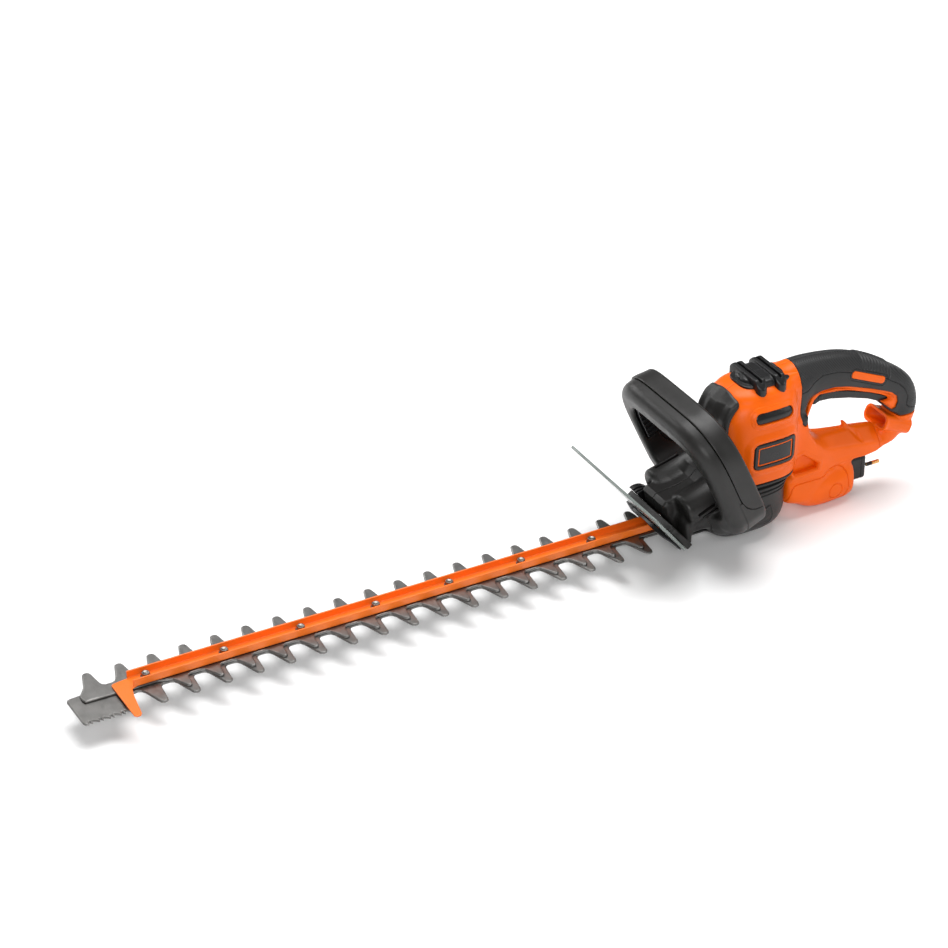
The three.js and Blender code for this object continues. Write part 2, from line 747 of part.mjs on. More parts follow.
function caseShell() {
  const outer = union(casePot(0), caseNose(0));
  const inner = union(casePot(WALL, 5), caseNose(WALL));
  const bladeMouth = box([-110, -60], [-26, 26], [14, 23.6]);
  const barMouth = box([-110, -60], [-9.5, 9.5], [14, 32.5]);
  const shelf = box([-60, 34], [-36, 36], [43, 49]).intersect(casePot(1));
  const web = cut(shelf, post(0, 0, 30, 60, BEARING_OUTER + GAP));
  const socket = cut(post(CRANK_X, 0, 36, 44, 8, 12), post(CRANK_X, 0, 30, 41.5, AXLE_RADIUS + 0.1, 16));
  const shell = union(cut(outer, inner), web, socket);
  const lid = box([-62, 4], [-25.5, 25.5], [-1, 4.6]);
  const cutAway = box([-56.6, 50], [-45, 45], [CASE_TOP - 0.4, 80]);
  const { x, z, face } = CASE_SCREW;
  const screwHole = rod(new THREE.Vector3(x, face - 6, z), new THREE.Vector3(x, face + 9, z), 3.9, 12);
  return cut(shell, bladeMouth, barMouth, lid, cutAway, screwHole);
}

/** The flat lid under the gear case, with the boss that holds the crank's axle. */
function bottomLid() {
  const lid = plate(roundedRectangle(-29, 0, 64, 49, 5), 0, 4.2);
  const boss = post(CRANK_X, 0, 4, 12, 7, 20);
  return cut(union(lid, boss), post(CRANK_X, 0, 6, 13, AXLE_RADIUS + 0.1));
}

// ---------------------------------------------------------------- loop handle

const LOOP_SIDE = new THREE.Vector3(0, 1, 0);
const LOOP_UP = new THREE.Vector3(-Math.sin(LOOP_LEAN), 0, Math.cos(LOOP_LEAN));

/** Half of the loop's upper outline, inset from the outside, from its crown down to a level. */
function loopArc(inset, low) {
  const radius = LOOP_CORNER - inset;
  const points = [[0, LOOP_TOP - inset]];
  for (let i = 0; i <= 6; i += 1) {
    const angle = Math.PI / 2 - (i * Math.PI) / 12;
    const y = LOOP_HALF_WIDTH - LOOP_CORNER + radius * Math.cos(angle);
    points.push([y, LOOP_TOP - LOOP_CORNER + radius * Math.sin(angle)]);
  }
  points.push([LOOP_HALF_WIDTH - inset, low]);
  return points;
}

function mirrored(points) {
  return points.map(([y, w]) => [-y, w]);
}

/** A closed outline from one side's outer and inner runs and their mirror images. */
function loopShape(outer, inner) {
  return polygon([
    ...mirrored(outer).reverse(),
    ...outer.slice(1),
    ...inner.slice().reverse(),
    ...mirrored(inner).slice(1),
  ]);
}

/** Pushes a shape drawn in the loop's plane forward between two depths. */
function loopSlab(shape, from, to) {
  return slab(shape, LOOP_ORIGIN, LOOP_SIDE, LOOP_UP, -to, -from);
}

const ARM_OUTER = [[83, -7], [74, -19], [56, -30], [40.6, -40]];
const ARM_INNER = [[60, 12], [54, 2], [46, -5], [40.6, -9]];

function loopRing(outset, inset, low, from, to) {
  return loopSlab(loopShape(loopArc(outset, low), loopArc(inset, low)), from, to);
}

/** A point in the loop's middle plane, a distance up along its lean. */
function loopPoint(up, depth) {
  const forward = new THREE.Vector3(-Math.cos(LOOP_LEAN), 0, -Math.sin(LOOP_LEAN));
  return LOOP_ORIGIN.clone().addScaledVector(LOOP_UP, up).addScaledVector(forward, depth);
}

/** A pocket in the crown for the switch bar's return spring. */
function springPocket(radius) {
  return rod(loopPoint(80, LOOP_SPLIT), loopPoint(107.5, LOOP_SPLIT), radius, 12);
}

function barSpring() {
  return coil(loopPoint(92.3, LOOP_SPLIT), LOOP_UP, 11, 3.6, 0.6, 4);
}

function loopFrontShell() {
  const full = loopSlab(
    loopShape([...loopArc(0, 8), ...ARM_OUTER], [...loopArc(LOOP_THICKNESS, 20), ...ARM_INNER]),
    LOOP_SPLIT + GAP,
    LOOP_DEPTH,
  );
  const barRoom = loopRing(15, 30, 25, LOOP_SPLIT - 1, LOOP_DEPTH - 4.5);
  const hollow = loopRing(3, 12, 12, LOOP_SPLIT - 1, LOOP_DEPTH - 3);
  return cut(full, barRoom, hollow, springPocket(5.5));
}

function loopRearShell() {
  const full = loopRing(0, LOOP_THICKNESS, 6, 0, LOOP_SPLIT);
  const barRoom = loopRing(15, 30, 25, 4.5, LOOP_SPLIT + 1);
  const hollow = loopRing(3, 12, 12, 3, LOOP_SPLIT + 1);
  return cut(full, barRoom, hollow, springPocket(5.5));
}

/** The ribbed bar inside the loop that closes the front switch when it is squeezed upwards. */
function switchBar() {
  const crown = loopArc(15 + SWITCH_BAR_TRAVEL + 0.8, 32).map(([y, w]) => [y * 1.03, w]);
  const body = loopSlab(loopShape(crown, loopArc(27.5, 32)), 5, LOOP_DEPTH - 5);
  const grooves = [];
  for (let k = -5; k <= 5; k += 1) {
    const shape = polygon([[k * 8 - 1, 60], [k * 8 + 1, 60], [k * 8 + 1, 85.2], [k * 8 - 1, 85.2]]);
    grooves.push(loopSlab(shape, 8, LOOP_DEPTH - 8));
  }
  return cut(body, ...grooves);
}

// ---------------------------------------------------------------- nose and guard

const GUARD_UP = new THREE.Vector3(-Math.sin(GUARD_LEAN), 0, Math.cos(GUARD_LEAN));

/** A plate parallel to the guard, between two distances in front of the guard's rear face. */
function guardSlab(points, from, to) {
  return slab(polygon(points), GUARD_FOOT, Y, GUARD_UP, -to, -from);
}

/** Room for the blades and the support bar through the plates in front of the gear case. */
function bladePassage(halfWidth) {
  const blades = box([-140, -80], [-halfWidth, halfWidth], [0, BLADE_TOP + 0.9]);
  const barHalfWidth = BAR_HALF_WIDTH + 1.1;
  const bar = box([-140, -80], [-barHalfWidth, barHalfWidth], [BLADE_TOP - 2, BLADE_TOP + 11]);
  return [blades, bar];
}

function handGuard() {
  const outline = [[-50, -6], [50, -6], [58, 20], [80, 76], [74, 82], [-74, 82], [-80, 76], [-58, 20]];
  const body = guardSlab(outline, 0, GUARD_THICKNESS);
  return cut(body, ...bladePassage(39));
}

function noseFlange() {
  const front = GUARD_THICKNESS + GAP;
  const outline = [[-46, -9], [46, -9], [50, 0], [46, 9], [18, 18], [-18, 18], [-46, 9], [-50, 0]];
  const body = guardSlab(outline, front, front + 5);
  return cut(body, ...bladePassage(39));
}

/** The mounting plate behind the guard, standing off the gear case's nose. */
function noseBackPlate() {
  const body = guardSlab([[-47, -14], [47, -14], [47, 6], [38, 20], [-38, 20], [-47, 6]], -7, -GAP);
  return cut(body, caseNose(-GAP), ...bladePassage(27));
}

function guardClip() {
  const shape = roundedRectangle(-92, 40, 15, 9, 3);
  const body = panel(shape, 29, 44);
  return cut(body, guardSlab([[-60, -20], [60, -20], [60, 90], [-60, 90]], -7.4, 20), caseNose(-GAP));
}

// ---------------------------------------------------------------- trigger, inlet and cable tube

/** The long squeeze bar under the grip, hinged on its own trunnions at the front. */
function trigger() {
  const outline = polygon([
    [70, 113], [70, 121], [76, 124.5], [90, 124], [112, 118.5], [136, 110.5], [158, 100],
    [163.5, 94], [164, 89], [160.5, 87.5], [153, 93.3], [135, 102], [112, 109.4], [89, 114.7],
    [76, 115.5],
  ]);
  const { x, z } = TRIGGER_PIVOT;
  const pivot = rod(new THREE.Vector3(x, -9, z), new THREE.Vector3(x, 9, z), 2.4, 12);
  return union(panel(outline, -6, 6), pivot);
}

// ---------------------------------------------------------------- assembly

const group = new THREE.Group();

function add(name, solid, material) {
  const mesh = new THREE.Mesh(geometryOf(solid), material);
  mesh.name = name;
  group.add(mesh);
}

const orange = finish(ORANGE, 0.35);
const charcoal = finish(CHARCOAL, 0.45);
const rubber = finish(0x2b2c2f, 0.8);
const black = finish(BLACK, 0.4);
const steel = finish(STEEL, 0.35, 1);
const dark = finish(0x44423f, 0.5, 0.6);
const copper = finish(0xb5713a, 0.35, 1);
const brass = finish(0xc98a4b, 0.3, 1);

add('upper_blade', upperBlade(), steel);
add('lower_blade', lowerBlade(), steel);
add('support_bar', supportBar(), orange);
for (let k = 0; k < BOLT_COUNT; k += 1) {
  add(`blade_bolt_${k + 1}`, bladeBolt(LAST_BOLT - k * BOLT_PITCH), steel);
}

add('crank_gear', crankGear(), steel);
add('gear_axle', post(CRANK_X, 0, 6.2, 41.2, AXLE_RADIUS, 24), steel);
add('motor_shaft', motorShaft(), steel);
const pinionOutline = gearShape(PINION_TEETH, 0);
const pinionBody = plate(polygon(pinionOutline), CRANK_BASE - 1, CRANK_TOP + 1);
add('pinion', cut(pinionBody, post(0, 0, 0, 60, 2.3, 16)), steel);
add('lower_bearing', washer(42.3, 50, SHAFT_RADIUS + 0.1, BEARING_OUTER), steel);
add('upper_bearing', washer(146, 152.5, SHAFT_RADIUS + 0.1, BEARING_OUTER), steel);
add('armature', armature(), dark);
add('commutator', commutator(), copper);
add('stator', stator(), dark);
add('fan', fan(), black);
add('brush_front', box([-25, -11.3], [-3, 3], [133, 141]), dark);
add('brush_rear', box([11.3, 25], [-3, 3], [133, 141]), dark);

function addPair(name, solid, material) {
  add(`${name}_left`, solid.intersect(LEFT_HALF), material);
  add(`${name}_right`, solid.intersect(RIGHT_HALF), material);
}

const clamshell = housing();
addPair('housing', mainHousing(clamshell), orange);
addPair('rear_corner', rearCorner(clamshell), orange);
addPair('grip', overmould(), rubber);
addPair('grip_inset', skin(INSET_SIDE, 0, 0.9), orange);
addPair('slot_insert', skin(SLOT_SIDE, 0.2, 1.2), black);
addPair('badge', skin(BADGE_SIDE, -0.6, 1.2), black);
addPair('vent_cap', ventCap(), black);
add('front_cover', frontCover(), charcoal);
add('gasket', gasket(), black);

addPair('gear_case', caseShell(), charcoal);
add('bottom_lid', bottomLid(), charcoal);

add('loop_front_shell', loopFrontShell(), charcoal);
add('loop_rear_shell', loopRearShell(), charcoal);
add('switch_bar', switchBar(), black);

add('nose_flange', noseFlange(), black);
add('nose_back_plate', noseBackPlate(), black);
add('hand_guard', handGuard(), finish(0x6f7a74, 0.15));
add('guard_clip', guardClip(), black);

add('trigger', trigger(), black);
add('trigger_spring', coil(new THREE.Vector3(108, 0, 120.4), Z, 10.2, 3.2, 0.6, 4), steel);
add('rear_switch', box([97, 119], [-5, 5], [131, 141]), black);
add('front_switch', box([-86, -68], [-18, -8], [37, 47]), black);
add('bar_spring', barSpring(), steel);

add('plug_body', plugBody(), black);
add('plug_pin_left', plugPin(PIN_SPREAD), brass);
add('plug_pin_right', plugPin(-PIN_SPREAD), brass);

HOUSING_SCREWS.forEach(({ x, z, face }, i) => add(`housing_screw_${i + 1}`, screw(x, z, face), steel));
add('case_screw', screw(CASE_SCREW.x, CASE_SCREW.z, CASE_SCREW.face), steel);

export default group;
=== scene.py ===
"""The looks of an electric hedge trimmer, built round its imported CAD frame.

Shapes are worked out in millimetres in the row frame, and meshes are made in metres. Moulded parts are
distance functions of X, Y and Z, negative inside, turned into meshes by surface nets.
"""

import json
import math

import bpy
import numpy as np
from mathutils import Matrix, Vector


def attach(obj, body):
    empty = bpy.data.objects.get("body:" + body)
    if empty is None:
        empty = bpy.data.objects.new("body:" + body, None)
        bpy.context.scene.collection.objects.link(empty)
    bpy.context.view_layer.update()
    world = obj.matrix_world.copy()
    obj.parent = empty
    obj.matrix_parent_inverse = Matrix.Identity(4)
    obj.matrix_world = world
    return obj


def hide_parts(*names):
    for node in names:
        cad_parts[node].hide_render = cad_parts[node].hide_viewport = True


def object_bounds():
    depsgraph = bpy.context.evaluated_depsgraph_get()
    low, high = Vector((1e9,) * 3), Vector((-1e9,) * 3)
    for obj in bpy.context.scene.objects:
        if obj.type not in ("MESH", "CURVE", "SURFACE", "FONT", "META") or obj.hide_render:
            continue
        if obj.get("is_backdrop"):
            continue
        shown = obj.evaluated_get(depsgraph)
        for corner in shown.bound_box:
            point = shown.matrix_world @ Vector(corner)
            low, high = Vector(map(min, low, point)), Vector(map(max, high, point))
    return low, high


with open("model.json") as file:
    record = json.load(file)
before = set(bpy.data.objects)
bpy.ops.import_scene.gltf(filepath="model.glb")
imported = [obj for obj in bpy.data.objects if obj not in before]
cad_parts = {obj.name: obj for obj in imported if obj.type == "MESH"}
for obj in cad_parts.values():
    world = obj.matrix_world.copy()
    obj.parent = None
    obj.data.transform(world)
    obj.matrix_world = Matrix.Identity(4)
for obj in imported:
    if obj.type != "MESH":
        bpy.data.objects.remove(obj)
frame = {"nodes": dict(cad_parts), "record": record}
CAD_LOW, CAD_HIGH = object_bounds()

MM = 0.001
BODY = "body"

# Sizes and places that several pieces share, in millimetres.
SEAM = 0.12  # half the gap between the two halves of a moulding
GRID = 0.5  # spacing of the tables that outlines and profiles are read from
BOLT_SPOTS = [-177.6 - 78.4 * k for k in range(7)]
AXLE_X = -33.75
PIN_Y, PIN_Z = 9.5, 25

# ---------------------------------------------------------------- distance toolkit


def smin(a, b, r):
    """The nearer of two distances, with a fillet about r wide."""
    h = np.maximum(r - np.abs(a - b), 0) / r
    return np.minimum(a, b) - h * h * r * 0.25


def smax(a, b, r):
    """What two shapes share, with a round edge about r wide."""
    return -smin(-a, -b, r)


def cut(a, b, r=0):
    """What is left of a when b is taken out of it, with a round edge about r wide."""
    return smax(a, -b, r) if r else np.maximum(a, -b)


def ramp(low, high, value):
    """0 below low, 1 above high, smooth in between."""
    t = np.clip((value - low) / (high - low), 0, 1)
    return t * t * (3 - 2 * t)


def fade(low, high, value):
    """1 below low, 0 above high, smooth in between."""
    return 1 - ramp(low, high, value)


def slab(flat, across, edge):
    """Joins the distance in a plane and the distance across it, with edges of radius edge."""
    a, b = flat + edge, across + edge
    return np.minimum(np.maximum(a, b), 0) + np.hypot(np.maximum(a, 0), np.maximum(b, 0)) - edge


def block(x, y, z, low, high, edge):
    """A box between two corners, with round edges."""
    outside, inside = 0, -1e9
    for value, lo, hi in zip((x, y, z), low, high):
        d = np.abs(value - (lo + hi) / 2) - (hi - lo) / 2 + edge
        outside = outside + np.maximum(d, 0) ** 2
        inside = np.maximum(inside, d)
    return np.sqrt(outside) + np.minimum(inside, 0) - edge


def rod(x, y, z, start, end, radius, edge):
    """A cylinder between two points, with round rims."""
    start, end = np.array(start, float), np.array(end, float)
    length = np.linalg.norm(end - start)
    axis = (end - start) / length
    px, py, pz = x - start[0], y - start[1], z - start[2]
    along = px * axis[0] + py * axis[1] + pz * axis[2]
    away = np.sqrt(np.maximum(px * px + py * py + pz * pz - along * along, 0))
    return slab(away - radius, np.abs(along - length / 2) - length / 2, edge)


def rounded(a, b, half_a, half_b, radius):
    """A flat rectangle round the origin, with round corners."""
    p, q = np.abs(a) - half_a + radius, np.abs(b) - half_b + radius
    return np.hypot(np.maximum(p, 0), np.maximum(q, 0)) + np.minimum(np.maximum(p, q), 0) - radius


def squircle(a, b, half_a, half_b, power):
    """Rough distance to a superellipse round the origin, oval at power 2 and boxier above it."""
    reach = ((np.abs(a) / half_a) ** power + (np.abs(b) / half_b) ** power) ** (1 / power)
    return (reach - 1) * np.minimum(half_a, half_b)


def column(profile, x, y, z, power):
    """An upright form from a profile of its front, rear and half width at each height."""
    front, rear, half = profile(z)
    return squircle(x - (front + rear) / 2, y, (rear - front) / 2, half, power)


def turned(a, b, angle):
    """Places read in axes turned by an angle."""
    c, s = math.cos(angle), math.sin(angle)
    return a * c + b * s, b * c - a * s


def spline(rows):
    """Rows of (t, value, ...) as a smooth function of t that returns one array per value."""
    rows = np.array(rows, float)
    t, v = rows[:, 0], rows[:, 1:]
    slopes = np.gradient(v, t, axis=0)
    s = np.arange(t[0], t[-1] + GRID, GRID).clip(t[0], t[-1])
    i = np.clip(np.searchsorted(t, s, side="right") - 1, 0, len(t) - 2)
    h = (t[i + 1] - t[i])[:, None]
    u = ((s - t[i])[:, None]) / h
    values = (
        (2 * u**3 - 3 * u**2 + 1) * v[i]
        + (u**3 - 2 * u**2 + u) * h * slopes[i]
        + (3 * u**2 - 2 * u**3) * v[i + 1]
        + (u**3 - u**2) * h * slopes[i + 1]
    )
    return lambda q: [np.interp(q, s, values[:, k]) for k in range(values.shape[1])]


def through(points, closed, step=1.0):
    """Points along a smooth curve through the given ones."""
    p = np.array(points, float)
    n = len(p)
    out = []
    for i in range(n if closed else n - 1):
        if closed:
            a, b, c, d = p[i - 1], p[i], p[(i + 1) % n], p[(i + 2) % n]
        else:
            a, b, c, d = p[max(i - 1, 0)], p[i], p[i + 1], p[min(i + 2, n - 1)]
        count = max(2, int(np.linalg.norm(c - b) / step))
        t = np.arange(count)[:, None] / count
        square, cube = (2 * a - 5 * b + 4 * c - d) * t**2, (3 * b - a - 3 * c + d) * t**3
        out.append(0.5 * (2 * b + (c - a) * t + square + cube))
    if not closed:
        out.append(p[-1:])
    return np.concatenate(out)


def to_line(points, a, b):
    """Distance from the points (a, b) to an open line."""
    best = np.full(a.shape, 1e9)
    for (ax, ay), (bx, by) in zip(points[:-1], points[1:]):
        dx, dy = bx - ax, by - ay
        t = np.clip(((a - ax) * dx + (b - ay) * dy) / (dx * dx + dy * dy), 0, 1)
        best = np.minimum(best, (a - ax - t * dx) ** 2 + (b - ay - t * dy) ** 2)
    return np.sqrt(best)


def to_outline(points, a, b):
    """Signed distance from the points (a, b) to a closed outline."""
    loop = np.vstack([points, points[:1]])
    inside = np.zeros(a.shape, bool)
    for (ax, ay), (bx, by) in zip(loop[:-1], loop[1:]):
        if ay != by:
            inside ^= ((ay > b) != (by > b)) & (a < (bx - ax) * (b - ay) / (by - ay) + ax)
    return np.where(inside, -1, 1) * to_line(loop, a, b)


class Field:
    """Values worked out once on a grid over two axes, and read between its points."""

    def __init__(self, make, low, high, step=GRID):
        self.low, self.step = low, step
        a = np.arange(low[0], high[0] + step, step)
        b = np.arange(low[1], high[1] + step, step)
        made = make(*np.meshgrid(a, b, indexing="ij"))
        self.layers = [np.asarray(m, np.float32) for m in (made if isinstance(made, tuple) else (made,))]
        self.size = self.layers[0].shape

    def __call__(self, a, b):
        p = np.clip((a - self.low[0]) / self.step, 0, self.size[0] - 1.001)
        q = np.clip((b - self.low[1]) / self.step, 0, self.size[1] - 1.001)
        i, j = p.astype(np.int32), q.astype(np.int32)
        p, q = p - i, q - j
        out = []
        for v in self.layers:
            low = v[i, j] * (1 - p) + v[i + 1, j] * p
            out.append(low * (1 - q) + (v[i, j + 1] * (1 - p) + v[i + 1, j + 1] * p) * q)
        return out[0] if len(out) == 1 else out


def polygon(points):
    """A field of the signed distance to a closed outline with straight sides, and 16 mm round it."""
    points = np.array(points, float)
    return Field(lambda a, b: to_outline(points, a, b), points.min(0) - 16, points.max(0) + 16)


def outline(points):
    """The same for a smooth curve through the points."""
    return polygon(through(points, True))


def drawn(points):
    """A field of the distance to a smooth open line, and 6 mm round it."""
    points = through(points, False)
    return Field(lambda a, b: to_line(points, a, b), points.min(0) - 6, points.max(0) + 6)


# ---------------------------------------------------------------- surfaces from distances

BLOCK = 6


def sample(shape, low, high, cell):
    """Distances on a grid, worked out only in the blocks that the surface may cross."""
    count = [int(math.ceil((h - l) / cell / BLOCK)) for l, h in zip(low, high)]
    corner = [l + cell * BLOCK * np.arange(n) for l, n in zip(low, count)]
    bx, by, bz = (g.ravel() for g in np.meshgrid(*corner, indexing="ij"))
    half = cell * BLOCK / 2
    middle = shape(bx + half, by + half, bz + half)
    values = np.empty([n * BLOCK for n in count], np.float32)
    view = values.reshape(count[0], BLOCK, count[1], BLOCK, count[2], BLOCK).transpose(0, 2, 4, 1, 3, 5)
    view[:] = np.where(middle < 0, -half, half).reshape(count)[..., None, None, None]
    near = np.nonzero(np.abs(middle) < half * 1.74 * 1.5)[0]
    step = cell * np.arange(BLOCK)
    ox, oy, oz = (g.ravel() for g in np.meshgrid(step, step, step, indexing="ij"))
    for part in np.array_split(near, max(1, len(near) // 4000)):
        d = shape(*((b[part, None] + o).ravel() for b, o in ((bx, ox), (by, oy), (bz, oz))))
        view[np.unravel_index(part, count)] = d.reshape(-1, BLOCK, BLOCK, BLOCK)
    return values


def nets(values, low, cell):
    """Vertices and quads of the surface where the values change sign."""
    inside = values < 0
    size = np.array(values.shape)
    keys, spots, rings = [], [], []
    for axis in range(3):
        others = [k for k in range(3) if k != axis]
        front = [slice(None)] * 3
        back = [slice(None)] * 3
        front[axis], back[axis] = slice(0, -1), slice(1, None)
        edges = np.array(np.nonzero(inside[tuple(front)] != inside[tuple(back)])).T
        edges = edges[(edges[:, others] > 0).all(1) & (edges[:, others] < size[others] - 1).all(1)]
        far = edges.copy()
        far[:, axis] += 1
        a, b = values[tuple(edges.T)], values[tuple(far.T)]
        spot = edges.astype(float)
        spot[:, axis] += a / (a - b)
        around = []
        for u, v in ((1, 1), (0, 1), (0, 0), (1, 0)):
            cell_index = edges.copy()
            cell_index[:, others[0]] -= u
            cell_index[:, others[1]] -= v
            key = np.ravel_multi_index(tuple(cell_index.T), tuple(size))
            around.append(key)
            keys.append(key)
            spots.append(spot)
        ring = np.stack(around, 1)
        flip = (a >= 0) ^ (axis == 1)
        ring[flip] = ring[flip][:, ::-1]
        rings.append(ring)
    used, place = np.unique(np.concatenate(keys), return_inverse=True)
    spots = np.concatenate(spots)
    total = np.bincount(place, minlength=len(used))
    verts = np.stack([np.bincount(place, spots[:, k], len(used)) / total for k in range(3)], 1)
    return verts * cell + np.array(low), np.searchsorted(used, np.concatenate(rings))


def gradient(shape, p, reach):
    """The slope of a distance at the points p."""
    out = np.empty_like(p)
    for k in range(3):
        ahead, behind = p.copy(), p.copy()
        ahead[:, k] += reach
        behind[:, k] -= reach
        out[:, k] = (shape(*ahead.T) - shape(*behind.T)) / (2 * reach)
    return out


def settled(shape, p, cell):
    """Moves vertices onto the surface."""
    for _ in range(2):
        g = gradient(shape, p, cell * 0.25)
        size = np.maximum((g * g).sum(1), 0.05)
        move = g * (shape(*p.T) / size)[:, None]
        length = np.linalg.norm(move, axis=1)[:, None]
        p = p - move * np.minimum(1, 0.6 * cell / np.maximum(length, 1e-9))
    return p


def mesh_of(verts, faces):
    """A mesh from vertices in millimetres and faces with the same number of corners."""
    mesh = bpy.data.meshes.new("moulded")
    faces = np.asarray(faces, np.int32)
    corners = faces.shape[1]
    mesh.vertices.add(len(verts))
    mesh.vertices.foreach_set("co", (np.asarray(verts) * MM).astype(np.float32).ravel())
    mesh.loops.add(faces.size)
    mesh.loops.foreach_set("vertex_index", faces.ravel())
    mesh.polygons.add(len(faces))
    mesh.polygons.foreach_set("loop_start", np.arange(0, faces.size, corners, dtype=np.int32))
    mesh.update(calc_edges=True)
    mesh.validate()
    return mesh


def add(name, data):
    """Adds an object to the scene."""
    made = bpy.data.objects.new(name, data)
    bpy.context.scene.collection.objects.link(made)
    return made


def place(name, mesh, body, look, replaced=()):
    """Adds a piece that rides on a body and stands for CAD nodes."""
    piece = add(name, mesh)
    mesh.materials.clear()
    mesh.materials.append(look)
    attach(piece, body)
    if replaced:
        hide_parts(*replaced)


def thinned(mesh, limit):
    """The mesh with at most that many triangles."""
    triangles = 2 * len(mesh.polygons)
    if triangles <= limit:
        return mesh
    helper = add("helper", mesh)
    modifier = helper.modifiers.new("thin", "DECIMATE")
    modifier.ratio = limit / triangles
    result = bpy.data.meshes.new_from_object(helper.evaluated_get(bpy.context.evaluated_depsgraph_get()))
    bpy.data.objects.remove(helper)
    return result


def with_normals(mesh, shape):
    """Shades a mesh by the exact normals of its shape."""
    co = np.empty(len(mesh.vertices) * 3, np.float32)
    mesh.vertices.foreach_get("co", co)
    p = co.reshape(-1, 3).astype(float) / MM
    g = gradient(shape, p, 0.12)
    g /= np.maximum(np.linalg.norm(g, axis=1), 1e-9)[:, None]
    mesh.shade_smooth()
    mesh.normals_split_custom_set_from_vertices(g)
    return mesh


def moulded(shape, low, high, cell, limit):
    """A closed mesh of a distance function inside a box."""
    cell = cell * 1
    verts, quads = nets(sample(shape, low, high, cell), low, cell)
    return with_normals(thinned(mesh_of(settled(shape, verts, cell), quads), limit), shape)


def halved(shape, side=1):
    """The left half of a shape, or the right one where side is -1, cut at the middle plane."""
    return lambda x, y, z: smax(shape(x, y, z), SEAM - side * y, 0.5)


def mirrored(mesh, shape):
    """The same mesh on the right side."""
    other = mesh.copy()
    for vertex in other.vertices:
        vertex.co.y = -vertex.co.y
    other.flip_normals()
    return with_normals(other, lambda x, y, z: shape(x, -y, z))


def pair(name, shape, low, high, cell, limit, look):
    """A left piece and its mirror image, standing for the CAD pair of the same name."""
    half = halved(shape)
    mesh = moulded(half, (low[0], -1, low[2]), high, cell, limit)
    place(f"{name}_left_skin", mesh, BODY, look, [f"{name}_left"])
    place(f"{name}_right_skin", mirrored(mesh, half), BODY, look, [f"{name}_right"])


def single(name, shape, low, high, cell, limit, body, look):
    """One piece that stands for the CAD node of that name."""
    skin = f"{name.removesuffix('_shell')}_skin"
    place(skin, moulded(shape, low, high, cell, limit), body, look, [name])


# ---------------------------------------------------------------- materials

SLOT_OF = {}


def socket(made, name):
    """An input of the material's shader."""
    return made.node_tree.nodes["Principled BSDF"].inputs[name]


def material(name, slot, color, roughness, metallic=0.0):
    """A Principled material; a slot ties it to the CAD nodes of that slot."""
    made = bpy.data.materials.new(name)
    made.use_nodes = True
    made.diffuse_color = (*color, 1)
    socket(made, "Base Color").default_value = (*color, 1)
    socket(made, "Roughness").default_value = roughness
    socket(made, "Metallic").default_value = metallic
    if slot:
        SLOT_OF[made.name] = slot
    return made


def node(made, kind, **settings):
    """A new node, with its properties and its inputs set by name."""
    new = made.node_tree.nodes.new(kind)
    for key, value in settings.items():
        if hasattr(new, key):
            setattr(new, key, value)
        else:
            new.inputs[key.replace("_", " ")].default_value = value
    return new


def join(made, source, target):
    """Links two sockets of a material."""
    made.node_tree.links.new(source, target)


def noise(made, size, detail=3.0, stretch=(1, 1, 1)):
    """Noise whose blobs are about size millimetres across."""
    spot = node(made, "ShaderNodeTexCoord")
    scale = node(made, "ShaderNodeMapping", Scale=[s / (size * MM) for s in stretch])
    join(made, spot.outputs["Object"], scale.inputs["Vector"])
    texture = node(made, "ShaderNodeTexNoise", Scale=1.0, Detail=detail, Roughness=0.55)
    join(made, scale.outputs["Vector"], texture.inputs["Vector"])
    return texture.outputs["Fac"]


def spread(made, source, low, high):
    """A 0 to 1 value as a number between low and high, stretched round its middle."""
    change = node(made, "ShaderNodeMapRange", From_Min=0.3, From_Max=0.7, To_Min=low, To_Max=high)
    join(made, source, change.inputs["Value"])
    return change.outputs["Result"]


def tinted(made, size, color, drift):
    """Colour that wanders a little round its tone, in blobs about size millimetres across."""
    mix = node(made, "ShaderNodeMix", data_type="RGBA")
    mix.inputs["A"].default_value = (*(c * (1 - drift) for c in color), 1)
    mix.inputs["B"].default_value = (*(min(1, c * (1 + drift)) for c in color), 1)
    join(made, spread(made, noise(made, size), 0, 1), mix.inputs["Factor"])
    join(made, mix.outputs["Result"], socket(made, "Base Color"))


def rough_by(made, source):
    """Lets a value set how rough the surface is."""
    join(made, source, socket(made, "Roughness"))


def bumped(made, source, height):
    """Relief from a 0 to 1 value, height in millimetres."""
    bump = node(made, "ShaderNodeBump", Strength=1.0, Distance=height * MM)
    join(made, source, bump.inputs["Height"])
    join(made, bump.outputs["Normal"], socket(made, "Normal"))


def plastic(name, slot, color, roughness, grain, relief, specular=0.36):
    """Moulded plastic: a fine spark-eroded grain, slow drifts in gloss and a little in tone."""
    made = material(name, slot, color, roughness)
    tinted(made, 45, color, 0.06)
    rough_by(made, spread(made, noise(made, 18, 4), roughness - 0.05, roughness + 0.06))
    bumped(made, noise(made, grain, 2), relief)
    socket(made, "Specular IOR Level").default_value = specular
    return made


def metal(name, slot, color, roughness, stretch, grain, relief, drift=0.12):
    """Ground or plated metal with fine marks stretched along one axis."""
    made = material(name, slot, color, roughness, 1.0)
    tinted(made, 12, color, drift)
    rough_by(made, spread(made, noise(made, grain, 3, stretch), roughness - 0.08, roughness + 0.1))
    bumped(made, noise(made, grain, 3, stretch), relief)
    return made


